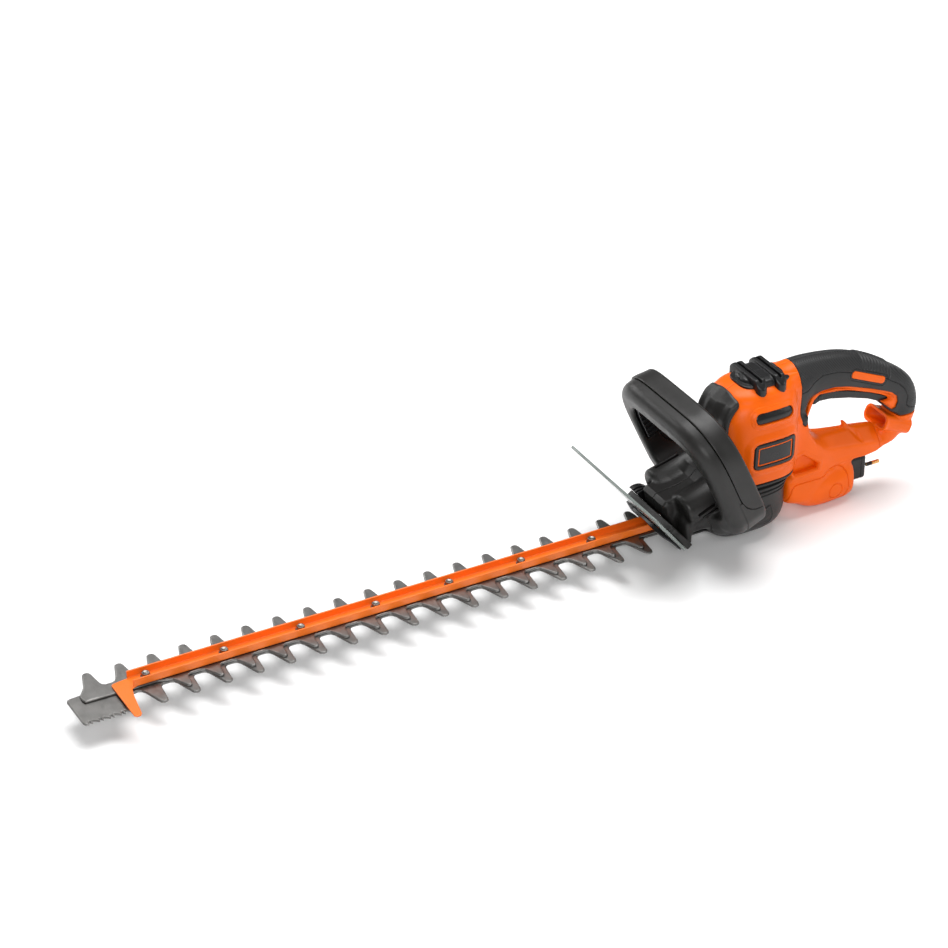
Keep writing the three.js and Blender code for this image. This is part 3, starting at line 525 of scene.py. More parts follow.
ORANGE = plastic("orange moulding", "orange_plastic", (0.80, 0.112, 0.001), 0.36, 0.9, 0.012, 0.2)
PAINT = plastic("orange powder coat", "orange_paint", (0.84, 0.165, 0.010), 0.38, 0.7, 0.02, 0.5)
CHARCOAL = plastic("charcoal nylon", "charcoal_plastic", (0.0135, 0.0128, 0.0122), 0.41, 0.7, 0.018, 0.36)
BLACK = plastic("black plastic", "black_plastic", (0.0085, 0.0085, 0.009), 0.31, 0.8, 0.01)
RUBBER = plastic("soft grip", "grip_rubber", (0.014, 0.014, 0.0145), 0.48, 0.5, 0.02)
BLADE = metal("blade steel", "blade_steel", (0.215, 0.21, 0.203), 0.40, (1, 0.08, 1), 0.6, 0.01)
BOLT = metal("plated steel", "bolt_steel", (0.20, 0.19, 0.175), 0.38, (1, 1, 1), 0.8, 0.012)
metal("machined steel", "gear_steel", (0.45, 0.45, 0.46), 0.32, (1, 1, 0.1), 0.5, 0.008)
metal("laminated core", "core_steel", (0.16, 0.15, 0.14), 0.5, (0.05, 0.05, 1), 0.5, 0.03)
metal("copper segments", "copper", (0.72, 0.30, 0.15), 0.34, (1, 1, 0.1), 0.5, 0.008)
plastic("pressed carbon", "carbon", (0.03, 0.03, 0.03), 0.7, 0.4, 0.03)
BRASS = metal("brass", "pin_brass", (0.80, 0.42, 0.15), 0.26, (0.1, 1, 1), 0.5, 0.005, 0.08)
GUARD = plastic("smoked clear guard", "guard_clear", (0.30, 0.34, 0.32), 0.16, 1.5, 0.006)
socket(GUARD, "Transmission Weight").default_value = 0.45

# ---------------------------------------------------------------- camera, light and floor


def camera():
    """The photograph's viewing angle."""
    data = bpy.data.cameras.new("camera")
    data.lens, data.sensor_width = 120.35, 36
    data.clip_start, data.clip_end = 0.1, 50
    shot = add("camera", data)
    shot.location = (-1.5276, -2.2140, 1.6785)
    shot.rotation_euler = (math.radians(58.669), 0, math.radians(-28.856))
    bpy.context.scene.camera = shot


def softbox(name, spot, width, height, power):
    """A soft light aimed at the middle of the tool."""
    data = bpy.data.lights.new(name, "AREA")
    data.shape, data.size, data.size_y = "RECTANGLE", width, height
    data.energy = power
    light = add(name, data)
    light.location = spot
    middle = Vector((-0.25, 0, 0.05))
    light.rotation_euler = (middle - Vector(spot)).to_track_quat("-Z", "Y").to_euler()


def studio():
    """A pale floor, a soft sky and four softboxes."""
    world = bpy.data.worlds.new("studio")
    world.use_nodes = True
    sky = world.node_tree.nodes["Background"]
    sky.inputs["Color"].default_value = (1, 1, 1, 1)
    sky.inputs["Strength"].default_value = 0.22
    bpy.context.scene.world = world
    bpy.context.scene.view_settings.view_transform = "Standard"
    softbox("key", (-1.3, -2.5, 1.7), 1.6, 0.9, 41)
    softbox("top", (0.1, 0.5, 2.3), 2.4, 1.3, 72)
    softbox("side", (1.7, -1.3, 1.0), 0.8, 1.0, 9)
    softbox("rim", (-0.9, 2.0, 1.0), 1.4, 0.6, 14)
    half = 6.0
    z = CAD_LOW.z - 0.0005
    corners = [(x * half, y * half, z) for x, y in ((-1, -1), (1, -1), (1, 1), (-1, 1))]
    mesh = bpy.data.meshes.new("floor")
    mesh.from_pydata(corners, [], [(0, 1, 2, 3)])
    mesh.materials.append(material("floor paper", None, (0.93, 0.93, 0.93), 0.9))
    add("floor", mesh)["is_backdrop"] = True


camera()
studio()

# ---------------------------------------------------------------- motor housing and rear handle

BARREL = spline([
    (55, -41, 41, 38), (60, -43, 42, 39), (80, -45, 43, 40), (118, -45, 43, 40), (134, -43, 43, 37.5),
    (147, -35, 41, 32), (156, -24, 36, 24), (160.5, -10, 28, 13),
])
BARREL_TOP = 161.5
HOUSING_BASE = 60.6
FOOT_Z = 62.0  # where the gasket and the gear case's ledge take the housing's outline


def barrel(x, y, z):
    """The upright motor housing with its domed top."""
    lean = BARREL(z + 1)[2] - BARREL(z)[2]
    return smax(column(BARREL, x, y, z, 3) / np.sqrt(1 + lean * lean), z - BARREL_TOP, 5)


HEEL = polygon([
    (148.3, 97), (150.5, 92.4), (154, 88.2), (161.2, 81.7), (172.2, 74.8), (182, 74), (188, 90),
    (176, 106), (160, 103.5), (160, 97),
])
GRIP_PATH = np.array([
    (28, 141, 22, 18), (58, 144, 22, 18), (97, 140.5, 21, 17.5), (127, 131.5, 19, 17),
    (153, 118.5, 17, 16.5), (174, 103, 16.6, 16.5), (182, 86, 15.2, 16), (178, 68, 15, 16),
    (165, 57, 13, 16),
])


def grip_field(x, z):
    """Distance to the grip's middle line, and its half thickness and half width there."""
    line = through(GRIP_PATH, False, 2.0)
    best = np.full(x.shape, 1e9)
    away, thick, half = best.copy(), best.copy(), best.copy()
    for px, pz, t, w in line:
        d = np.hypot(x - px, z - pz)
        nearer = d - t < best
        best = np.where(nearer, d - t, best)
        away, thick, half = np.where(nearer, d, away), np.where(nearer, t, thick), np.where(nearer, w, half)
    return away, thick, half


GRIP_BAR = Field(grip_field, (0, 20), (215, 185), 1.0)


def grip_bar(x, y, z):
    """The hand grip, from the housing round to the lower bar, with its flat-sided heel."""
    away, thick, half = GRIP_BAR(x, z)
    return smin(squircle(away, y, thick, half, 2.4), slab(HEEL(x, z), np.abs(y) - 14.6, 3), 3)


BAR_RIDGE = [(57.3, 100), (59, 91), (63.5, 83), (70, 77.6), (78, 75), (101, 72.8), (122, 71), (143, 68.5)]
BAR_TOP = polygon([
    (50, 112), (57, 112), *BAR_RIDGE, (158, 64), (176, 57), (200, 46), (230, -20), (100, -30), (30, -20),
    (30, 60), (40, 112),
])
LOWER_BAR = polygon([
    (57, 108), *BAR_RIDGE, (158, 66), (174, 68), (178, 64), (175, 57.5), (170, 52), (160, 45.9),
    (146, 41.6), (132, 40.6), (108, 42), (80, 40), (40, 40), (36, 60), (36, 108),
])
BAR_HALF = spline([(20, 22), (60, 20.5), (100, 18.5), (145, 16.6), (158, 14.6), (168, 13), (200, 13)])
BAR_BEVEL = spline([(30, 0), (58, 0), (62, 1.5), (71, 6.5), (82, 11), (98, 12.6), (146, 14.5), (200, 15)])


def lower_bar(x, y, z):
    """The rear handle's lower bar, with wide bevels along its top."""
    half, = BAR_HALF(x)
    bevel, = BAR_BEVEL(x)
    side = np.abs(y) - half
    body = slab(LOWER_BAR(x, z), side, 3)
    return smax(body, (side + BAR_TOP(x, z) + bevel) * 0.7071, 2.5)


POD = spline([
    (30, 20, 12, 31), (38, 22, 15.5, 28), (48, 22.5, 18, 24.6), (68, 23, 21, 18), (98, 23, 20, 16),
    (112, 21.5, 20, 16.8), (120.5, 19, 18, 18), (126, 17.5, 17, 18.4),
])


def pod(x, y, z):
    """The swelling that holds the mains inlet."""
    half, tall, middle = POD(x)
    shell = smax(smax(squircle(y, z - middle, half, tall, 2.6), x - 118, 3), 35.5 - x, 4)
    return smin(shell, block(x, y, z, (60, -17.4, 22), (116.5, 17.4, 48), 5), 5)


STEM = spline([
    (10, 38, 60, 19), (20, 36.4, 66, 20), (40, 35.6, 92, 21), (57, 37, 84, 21), (64, 20, 80, 21),
    (84, 20, 64, 19.5), (100, 20, 57.4, 18.5), (120, 20, 62, 18), (150, 20, 66, 18),
])


def stem(x, y, z):
    """The web between the housing, the grip's front leg and the pod."""
    return smax(smax(column(STEM, x, y, z, 3.4), z - 148, 8), 14 - z, 4)


TUBE_LEAN = math.radians(22)
TUBE_LENGTH = 34.5
TUBE_MOUTH = (153, 71.5)
TUBE_WALL = 2.4


def tube_frame(x, z):
    """Distance along the cable tube from its mouth, and height above its axis."""
    return turned(x - TUBE_MOUTH[0], z - TUBE_MOUTH[1], -TUBE_LEAN)


def tube(x, y, z):
    """The cable tube's outside, flared at its mouth."""
    along, up = tube_frame(x, z)
    flat = rounded(y, up, 18, 8.5, 7) - 0.8 * fade(0, 5, along)
    return slab(flat, np.abs(along - TUBE_LENGTH / 2) - TUBE_LENGTH / 2, 0.9)


def tube_bore(x, y, z):
    """The way through the tube, run on past both of its ends."""
    along, up = tube_frame(x, z)
    flat = rounded(y, up, 18, 8.5, 7) + TUBE_WALL
    return slab(flat, np.abs(along - TUBE_LENGTH / 2) - TUBE_LENGTH / 2 - 6, 0.1)


FIN = outline([
    (110.9, 78.2), (112.6, 79), (114.8, 77.4), (119.5, 71.5), (127, 66.5), (134, 64), (134, 60), (114, 60),
    (115, 66), (112.5, 73),
])


def fin(x, y, z):
    """The small hook that the cable hangs on."""
    return slab(FIN(x, z), np.abs(y) - 2.6, 1.6)


PANEL = polygon([(37.5, 51.5), (40.5, 67), (51, 69.2), (72, 53.5), (71, 46), (43, 45)])
POD_LINE = drawn([
    (36, 14), (38.5, 25.5), (43.6, 34.1), (62.4, 34.6), (77.6, 34.2), (81.2, 36.8), (86.6, 41.7),
    (96.1, 41.3), (105.2, 34.4), (108.4, 25.1), (108.8, 12), (103.4, 3),
])
RING_AT = (93.3, 14.3)
SLOT_AT, SLOT_HALF = (4.0, 134.0), (21.5, 5.8)
BADGE_AT, BADGE_HALF = (4.2, 94.2), (24.6, 14.6)
BADGE_LINE_IN = 5.2


def slot_outline(x, z):
    """The long slot high on the housing's side."""
    return rounded(x - SLOT_AT[0], z - SLOT_AT[1], *SLOT_HALF, 5.4)


def badge_outline(x, z):
    """The plain plate on the housing's side."""
    return rounded(x - BADGE_AT[0], z - BADGE_AT[1], *BADGE_HALF, 6)


def line_groove(distance, half, depth):
    """How deep a groove with sloping sides is at a distance from its line."""
    return depth * fade(half * 0.4, half * 1.3, distance)


def orange_form(x, y, z):
    """The outside of the orange clamshell before anything is let into it."""
    side = np.abs(y)
    body = smin(smax(barrel(x, y, z), HOUSING_BASE - z, 2), stem(x, y, z), 6)
    body = smin(body, grip_bar(x, y, z), 7)
    body = smin(body, smin(lower_bar(x, y, z), pod(x, y, z), 4), 7)
    on_side = ramp(9, 14, side)
    on_barrel = ramp(22, 30, side)
    slot, badge = slot_outline(x, z), badge_outline(x, z)
    lift = 1.1 * fade(0.5, 4.2, slot) + 0.5 * fade(4.4, 5.4, slot)
    lift = lift + 2.0 * fade(2.5, 9.5, badge)
    body = body - on_barrel * lift
    panel = PANEL(x, z)
    sink = 1.4 * fade(-2.0, 0.4, panel) - 0.5 * fade(0.2, 3.2, np.abs(panel - 1.4))
    body = cut(body + on_side * sink, np.maximum(panel + 1.6, 15.4 - side), 1.2)
    ring = np.abs(np.hypot(x - RING_AT[0], z - RING_AT[1]) - 8)
    return body + on_side * (line_groove(POD_LINE(x, z), 0.6, 0.8) + line_groove(ring, 0.6, 0.7))


def notch(x, z):
    """The vee let into the lower bar's bevel under the hook."""
    u = x - 121 - (69 - z) * 0.55
    return (np.abs(u) - 5.2 + (64 - z).clip(0, 30) * 0.36) * 0.8


def orange_body(x, y, z):
    """The clamshell's outside with the notch, the hook and the cable tube."""
    form = orange_form(x, y, z)
    side = np.abs(y)
    room = ramp(3, 9, side) * ramp(56, 60, z) * ramp(100, 110, x)
    form = form + 1.6 * fade(-3.5, 0, notch(x, z)) * room
    form = smin(form, fin(x, y, z), 4)
    form = smin(form, tube(x, y, z), 1.2)
    return cut(form, tube_bore(x, y, z), 0.8)


GRIP_EDGE = polygon([
    (44, 190), (45, 163), (46.2, 150), (47.6, 130), (48.2, 110), (49.4, 102.4), (52.8, 99.2), (56.5, 100),
    (59, 104), (61.5, 112), (64.5, 121), (73, 128.5), (90, 129), (106.5, 124), (135, 113), (158.5, 103.2),
    (164.5, 96.5), (164.4, 89.5), (161, 88.3), (149, 97.2), (147.6, 97), (150.5, 91.6), (161.2, 81.7),
    (172.2, 74.6), (184, 74.5), (205, 74), (225, 90), (225, 190),
])
TRIM = polygon([
    (56, 99), (60.6, 110), (61.2, 115.5), (64.4, 123.2), (73.1, 130.6), (89, 130.9), (106.3, 126.4),
    (135, 115.7), (159.5, 105.3), (166.2, 99.4), (168.2, 92), (166.6, 86.2), (162.3, 85), (149.5, 96.1),
    (148, 98), (157.5, 91.4), (160.8, 92), (161.3, 96.4), (157.7, 101.2), (135.4, 110.7), (106.7, 121.7),
    (84, 126.7), (74, 125.8), (67.5, 120.5), (64.6, 113), (61.5, 104), (58.5, 97),
])
TRIGGER_SLOT = polygon([
    (64, 100), (62, 108), (66, 126), (90, 132), (112, 127), (136, 119), (162, 109), (168, 100),
    (167.6, 88), (161, 85.5), (149, 94.5), (120, 88),
])
REAR_CORNER = polygon([
    (148.5, 20), (148.5, 83), (157, 83), (168, 77), (173, 74.3), (215, 74.3), (215, 20),
])


def trigger_way(x, y, z):
    """The slot in the grip's underside that the trigger moves in."""
    return np.maximum(TRIGGER_SLOT(x, z), np.abs(y) - 10.6)


def trigger_room(x, y, z):
    """The slot in the grip's underside, and the room for the switch above it."""
    return np.minimum(trigger_way(x, y, z), block(x, y, z, (96, -5.6, 120), (120, 5.6, 141.8), 0.2))


def trim(x, y, z):
    """The orange rim round the trigger."""
    return slab(TRIM(x, z), np.abs(y) - 12.6, 1.3)


def orange_shell(x, y, z):
    """The clamshell with its pockets, the motor's room and the trigger's slot."""
    form = orange_form(x, y, z)
    body = orange_body(x, y, z)
    depth = -(form + 1.9)
    body = cut(body, np.maximum(GRIP_EDGE(x, z) - 0.3, depth))
    body = smin(body, trim(x, y, z), 1.0)
    for pocket, deep in ((slot_outline(x, z) - 0.2, 2.6), (badge_outline(x, z) - 0.25, 2.4)):
        body = cut(body, np.maximum(cut(pocket, form + deep), 20 - np.abs(y)))
    motor_room = np.maximum(np.maximum(barrel(x, y, z) + 3, z - 157), 62 - z)
    inlet_room = block(x, y, z, (103, -15.3, 13.2), (140, 15.3, 40.3), 3)
    for room in (motor_room, trigger_room(x, y, z), inlet_room):
        body = cut(body, room)
    return cut(body, gear_case_form(x, y, z) - 0.8, 0.8)


def housing(x, y, z):
    """The clamshell without its rear corner, which is a piece of its own."""
    return cut(orange_shell(x, y, z), REAR_CORNER(x, z), 0.6)


SCREWS = (
    ("housing_screw_1", (51, 88), 18),
    ("housing_screw_2", (56, 36), 20),
    ("housing_screw_3", (128, 51), 16),
)


def housing_left(x, y, z):
    """The left half, with a sunk boss for each screw."""
    body = halved(housing)(x, y, z)
    for _, spot, face in SCREWS:
        away = np.hypot(x - spot[0], z - spot[1])
        ring = np.maximum(np.maximum(away - 6, np.abs(y - face + 4) - 5.6), orange_form(x, y, z) - 0.7)
        body = smin(body, ring, 1.5)
        body = cut(body, np.maximum(away - 4.1, face - 3.0 - y), 0.5)
    return body


def housing_right(x, y, z):
    """The right half, without screws."""
    return halved(housing)(x, -y, z)


def rear_corner(x, y, z):
    """The clamshell's rear corner below the grip."""
    return smax(orange_shell(x, y, z), REAR_CORNER(x, z) + 0.25, 0.6)


SMOOTH_ZONE = polygon([
    (40, 137), (48.7, 137), (54.9, 137.8), (60.8, 144.2), (73, 149.9), (92.1, 148.2), (105.1, 144.1),
    (128, 134.6), (152, 124), (158, 119.6), (166.5, 114.6), (174.6, 106.4), (178.8, 96), (178.4, 86.6),
    (182, 83.4), (186, 82), (215, 70), (150, 60), (40, 60),
])
INSET_LEAN = -0.42
INSET_AT = (128.5, 132.0)


def inset_outline(x, z):
    """The strip along the grip's side."""
    return rounded(*turned(x - INSET_AT[0], z - INSET_AT[1], INSET_LEAN), 22.2, 3.9, 3.2)


def grip_relief(x, y, z):
    """Height of the overmould's pattern: hatching, thumb ribs and a smooth lower zone."""
    zone = SMOOTH_ZONE(x, z)
    textured = ramp(0.4, 1.6, zone)
    side = np.abs(y)
    hatch = 0.5 + 0.5 * np.cos((x * 0.72 + z * 0.72 + side * 0.35) * (2 * math.pi / 1.75))
    axis = x * 0.93 - z * 0.36
    from_inset = inset_outline(x, z)
    rib_room = ramp(0, 1.2, 20.7 - np.abs(axis - 80)) * ramp(2.8, 4.2, from_inset) * textured
    rib = 0.5 + 0.5 * np.cos((axis - 80) * (2 * math.pi / 4.6))
    lift = textured * 0.24 * hatch * (1 - rib_room) + rib_room * 1.1 * np.sqrt(rib)
    lift = lift - line_groove(np.abs(zone), 0.5, 0.6)
    lift = lift - line_groove(np.abs(from_inset - 2.4), 0.5, 0.5)
    return lift - 0.35


def overmould(x, y, z):
    """The soft skin on the grip, let into the orange shell."""
    form = orange_form(x, y, z)
    skin = smax(form - grip_relief(x, y, z), GRIP_EDGE(x, z), 1.6)
    skin = cut(skin, form + 1.75)
    skin = smax(skin, 0.25 - TRIM(x, z), 0.8)
    skin = cut(skin, tube(x, y, z) - 0.4, 0.8)
    pocket = np.maximum(cut(inset_outline(x, z) - 0.15, form + 1.4), 8 - np.abs(y))
    skin = cut(skin, pocket, 0.5)
    return cut(skin, trigger_way(x, y, z))


def grip_inset(x, y, z):
    """The orange strip in the overmould's side."""
    form = orange_form(x, y, z)
    return np.maximum(smax(form - 0.1, inset_outline(x, z), 1.0), np.maximum(-(form + 1.2), 6 - np.abs(y)))


def slot_insert(x, y, z):
    """The dark bar in the housing's slot, crowned along its middle."""
    form = barrel(x, y, z)
    crown = 0.9 * fade(0, 6, np.abs(z - SLOT_AT[1]))
    plate = smax(form - 0.1 - crown, slot_outline(x, z) + 0.1, 1.6)
    return np.maximum(plate, np.maximum(-(form + 2.3), 20 - np.abs(y)))


def badge(x, y, z):
    """A plain dark plate with a raised rim; it carries no mark."""
    form = barrel(x, y, z)
    edge = badge_outline(x, z)
    rim = 2.6 * fade(3.6, 4.6, -edge) + 1.7 * ramp(3.6, 4.6, -edge)
    groove = line_groove(np.abs(edge + BADGE_LINE_IN), 0.75, 0.9)
    plate = smax(form - rim + groove, edge + 0.1, 1.8)
    return np.maximum(plate, np.maximum(-(form + 2.1), 20 - np.abs(y)))


def badge_line(x, y, z):
    """The thin orange line round the plate's field."""
    form = barrel(x, y, z)
    edge = badge_outline(x, z)
    line = slab(np.abs(edge + BADGE_LINE_IN) - 0.55, np.abs(form - 1.0) - 0.85, 0.2)
    return np.maximum(line, 20 - np.abs(y))


# ---------------------------------------------------------------- vent cap and front cover

RIDGES = (-4.0, 18.4)
CAP_SIDE = spline([
    (-22, 6), (-18.5, 13), (-12, 17.5), (-6, 19.5), (8, 20), (22, 20), (30, 18), (36, 14), (40, 6),
])


def vent_cap(x, y, z):
    """The dark cap on the dome, with two slotted ridges that curl down at their ends."""
    side = np.abs(y)
    dome = barrel(x, y, z)
    half, = CAP_SIDE(x)
    plan = smax(side - half, np.maximum(-18.6 - x, x - 38.2), 8)
    cap = smax(dome - 3.2, plan, 2.6)
    between = smax(np.abs(x - 7.2) - 9, side - 21, 6)
    cap = smin(cap, cut(smax(between, z - 164.2, 4), dome + 2, 1), 3)
    for middle in RIDGES:
        across = np.abs(x - middle)
        drop = 7.4 * ramp(19, 29.5, side)
        end = np.hypot(across, np.maximum(side - 22.6, 0)) - 5.9
        bar = slab(end, np.abs(z - 162.4 + drop) - 5.6, 1.8)
        bar = cut(bar, dome + 2)
        cap = smin(cap, bar, 1.2)
        groove = slab(np.hypot(across, np.maximum(side - 21.5, 0)) - 1.5, 163.4 - drop - z, 0.3)
        cap = cut(cap, groove, 0.7)
    cap = cut(cap, dome + 0.3, 0.3)
    return cut(cap, grip_bar(x, y, z) - 0.4, 0.6)


def front_cover(x, y, z):
    """The dark cover on the housing's front: a middle ridge, a valley each side and a raised flank."""
    side, wall = np.abs(y), barrel(x, y, z)
    lift = 2.9 + 1.9 * fade(4, 15, side) + 1.2 * ramp(14, 23, side)
    lift = lift * (1 - 0.55 * ramp(146, 154, z))
    body = smax(slab(wall - lift, side - 25.4, 3.4), x + 28.5, 4)
    return np.maximum(np.maximum(body, 0.3 - wall), 62 - z)


def gasket(x, y, z):
    """The soft ring under the motor housing, with a rounded lip."""
    wall = barrel(x, y, np.full(z.shape, FOOT_Z))
    return cut(slab(wall + 0.4, np.abs(z - 58.7) - 1.6, 1.4), wall + 5)


# ---------------------------------------------------------------- gear case

CASE = spline([
    (1, -47, 18, 28), (8, -55, 25, 35), (20, -68, 31, 40), (32, -76, 32, 40), (44, -74, 32, 40),
    (50, -64, 34, 39.2), (57, -52, 38, 38),
])
NOSE = polygon([
    (-88, 10), (-95, 16), (-99, 30), (-106, 42), (-109, 54), (-105, 58.3), (-82, 61.3), (-68, 65.5),
    (-60, 72.5), (-44, 74), (-44, 10),
])

LABEL = outline([(-14, 17.4), (-6, 30), (3.5, 33.5), (7, 24), (5.5, 15.5), (-2, 11.8)])


def gear_case_form(x, y, z):
    """The outside of the gear case: a pot under the motor, a nose with a roof and two round bosses."""
    side = np.abs(y)
    pot = smax(smax(column(CASE, x, y, z, 3.2), 0.3 - z, 3), z - 60.2, 0.6)
    for height, half, depth in ((55.6, 1.5, 2.4), (50.6, 1.0, 1.5), (46.6, 0.8, 1.0)):
        pot = pot + line_groove(np.abs(z - height), half, depth) * ramp(-60, -45, x)
    nose = slab(NOSE(x, z), side - 20.5, 4)
    flank = block(x, side, z, (-94, -10, 23), (-50, 35.5, 46), 7)
    foot = block(x, side, z, (-94, 16, 13), (-84.5, 37, 40), 4)
    flank = smin(flank, foot, 5)
    boss = rod(x, side, z, (-93, 27, 48.5), (-46, 27, 62), 16.4, 5)
    case = smin(smin(pot, nose, 4), smin(flank, boss, 4), 5)
    label = smax(LABEL(x, z), np.abs(y + 38) - 4, 0.5)
    lift = 1.1 * fade(-0.8, 0.4, label) - 0.5 * fade(0.3, 0.9, np.abs(label + 2.2))
    return smax(case - lift, 0.3 - z, 1.5)


def vent_slots(x, y, z):
    """Slanted slots: low on the right boss, high on the left one."""
    best = 1e3
    for middle, half in (((-73.7, 53.0), 10.0), ((-65.6, 47.8), 11.0)):
        along, up = turned(x - middle[0], z - middle[1], math.radians(22))
        best = np.minimum(best, np.maximum(rounded(along, up, half, 2.0, 1.6), 31 + y))
    along, _ = turned(x + 72, z - 62, 0.34)
    for across in (30, 36.6):
        flat = rounded(along, y - across, 14, 1.9, 1.6)
        best = np.minimum(best, np.maximum(flat, 50 + 0.36 * (x + 72) - z))
    return best


def lid_edge(x, y):
    """The outline of the lid in the gear case's underside."""
    return rounded(x + 19.5, y, 22.5, 22, 8)


def gear_case(x, y, z):
    """The gear case with its vents, the blades' mouth, and its openings for the lid and the motor."""
    form = gear_case_form(x, y, z)
    slots = vent_slots(x, y, z)
    inner = np.maximum(form + 3, z - 70)
    case = cut(form, np.maximum(inner, 2 - slots))
    case = cut(case, slots, 0.8)
    for half, top in ((26, 23.4), (9.5, 32.4)):  # the blades' mouth, and the bar's above it
        case = cut(case, block(x, y, z, (-130, -half, 14), (-54, half, top), 0.2))
    case = cut(case, np.maximum(lid_edge(x, y) - 0.5, z - 4.6))
    ledge = np.maximum(barrel(x, y, np.full(z.shape, FOOT_Z)) - 0.3, 56.9 - z)
    return cut(case, ledge)


# ---------------------------------------------------------------- loop handle

LOOP_LEAN = math.radians(24.5)
LOOP_ORIGIN = (-32.5, 65.5)
LOOP_DEPTH = 39
LOOP_SPLIT = 20.5
LOOP_OUTER_HALF = [
    (0, 111.5), (28, 111.4), (44, 110.4), (57, 106.6), (68.5, 98.8), (77, 87), (82, 72), (84.2, 54),
    (84.6, 30), (84, 8), (82, -6), (72, -20.4), (52, -31.6), (36, -42), (20, -50),
]
LOOP_INNER_HALF = [
    (0, 88), (28, 88), (45, 86), (56, 79), (62.4, 66), (64, 48), (63.6, 24), (60.5, 8), (52, -2),
    (40, -8), (20, -12),
]


def both_sides(half, bottom):
    """A closed outline from its right half, from the crown down."""
    return [*half, (0, bottom), *((-y, up) for y, up in half[:0:-1])]


LOOP_OUTER = outline(both_sides(LOOP_OUTER_HALF, -54))
LOOP_INNER = outline(both_sides(LOOP_INNER_HALF, -13))


def loop_frame(x, z):
    """Height up the loop's plane and depth forward of its back."""
    along, up = turned(x - LOOP_ORIGIN[0], z - LOOP_ORIGIN[1], LOOP_LEAN)
    return up, -along


def loop_flare(up, depth):
    """How far the loop's outside widens towards its crown and its parting line."""
    return 3.2 * ramp(40, 95, up) * ramp(0, LOOP_SPLIT, depth)


def loop_back(y, up, depth):
    """The loop's outside behind the parting line, with a flat back."""
    outer = LOOP_OUTER(y, up) - loop_flare(up, depth)
    return np.maximum(slab(outer, -depth, 3), slab(-LOOP_INNER(y, up), -depth, 4))


def loop_form(y, up, depth):
    """The loop's outside: a flat back, a step at the parting line and a full round front."""
    outer = LOOP_OUTER(y, up) + 0.7 - 0.7 * loop_flare(up, depth)
    forward = depth - LOOP_DEPTH
    front = np.maximum(slab(outer, forward, 12), slab(-LOOP_INNER(y, up), forward, 5))
    return np.where(depth > LOOP_SPLIT, front, loop_back(y, up, depth))


def loop_room(y, up, depth):
    """The channel inside the loop that the switch bar slides in."""
    width = np.abs(depth - LOOP_DEPTH / 2) - 15.2
    return np.maximum(np.maximum(LOOP_INNER(y, up) - 8.8, width), 29 - up)


def loop_rear_form(y, up, depth):
    """The rear half of the loop, with round lower ends."""
    end = smax(depth - LOOP_SPLIT + 0.2, 3.8 - up, 26)
    return smax(loop_back(y, up, depth), end, 0.8)


def loop_front(x, y, z):
    """The front half of the loop and its two feet, which run back and into the gear case."""
    up, depth = loop_frame(x, z)
    shell = smax(loop_form(y, up, depth), LOOP_SPLIT + 0.2 - depth, 0.8)
    feet = cut(LOOP_OUTER(y, up), LOOP_INNER(y, up), 2)
    feet = smax(feet, np.maximum(up - 24, depth - LOOP_SPLIT - 3), 1)
    feet = cut(cut(feet, depth, 5), loop_rear_form(y, up, depth) - 0.25)
    body = smax(np.minimum(shell, feet), 30 - np.abs(y) - 0.3 * (up - 40).clip(0, 200), 4)
    body = np.minimum(body, np.maximum(shell, 40 - up))
    case = gear_case_form(x, y, z)
    body = smin(body, case + 0.4, 10)
    body = cut(body, case - 0.05)
    return cut(body, loop_room(y, up, depth))


def loop_rear(x, y, z):
    """The rear half of the loop, hollow for the switch bar."""
    up, depth = loop_frame(x, z)
    return cut(loop_rear_form(y, up, depth), loop_room(y, up, depth))


def switch_bar(x, y, z):
    """The ribbed squeeze bar inside the loop."""
    up, depth = loop_frame(x, z)
    inside = -LOOP_INNER(y, up)
    along = np.where(np.abs(y) < 52, y, up)
    ribs = np.abs(np.sin(along * (math.pi / 6.2)))
    shape = np.maximum(inside - 4.2 + 0.9 * (1 - ribs) ** 2, -inside - 4.2)
    return np.maximum(slab(shape, np.abs(depth - 19.5) - 14, 1.2), 33 - up)


# ---------------------------------------------------------------- blades, support bar and bolts

BLADE_THICK = 2.2
UPPER_TOP, LOWER_TOP = 22.0, 19.55
PITCH = 32


def tooth_row(last, count, side, reach, slim):
    """Points of a row of teeth, from the tip side on; slim makes each root narrower on both sides."""
    end = slim / 2
    tooth = [
        (slim - 15, 10.6), (slim - 11.6, 12), (slim - 9.4, 15.4), (end - 3.8, reach - 4.2),
        (end - 2.6, reach - 1.3), (end - 0.4, reach), (2 - end, reach), (4.2 - end, reach - 1.3),
        (5.2 - end, reach - 4.2), (7 - slim, 15.4), (8.2 - slim, 12.2), (10.6 - slim, 10.6),
    ]
    starts = [last - k * PITCH for k in reversed(range(count))]
    return [(start + along, side * out) for start in starts for along, out in tooth]


def blade(plan, top):
    """A flat blade with ground edges on its upper side and slots for the bolts and the cam."""
    def shape(x, y, z):
        edge = plan(x, y)
        body = slab(edge, np.abs(z - top + BLADE_THICK / 2) - BLADE_THICK / 2, 0.15)
        body = np.maximum(body, (edge + 1.0) * 0.62 + (z - top) * 0.78)
        for spot in BOLT_SPOTS:
            body = cut(body, rounded(x - spot, y, 9.6, 3.3, 3.2))
        return cut(body, rounded(x - AXLE_X, y, 24.2, 18.2, 2))
    return shape


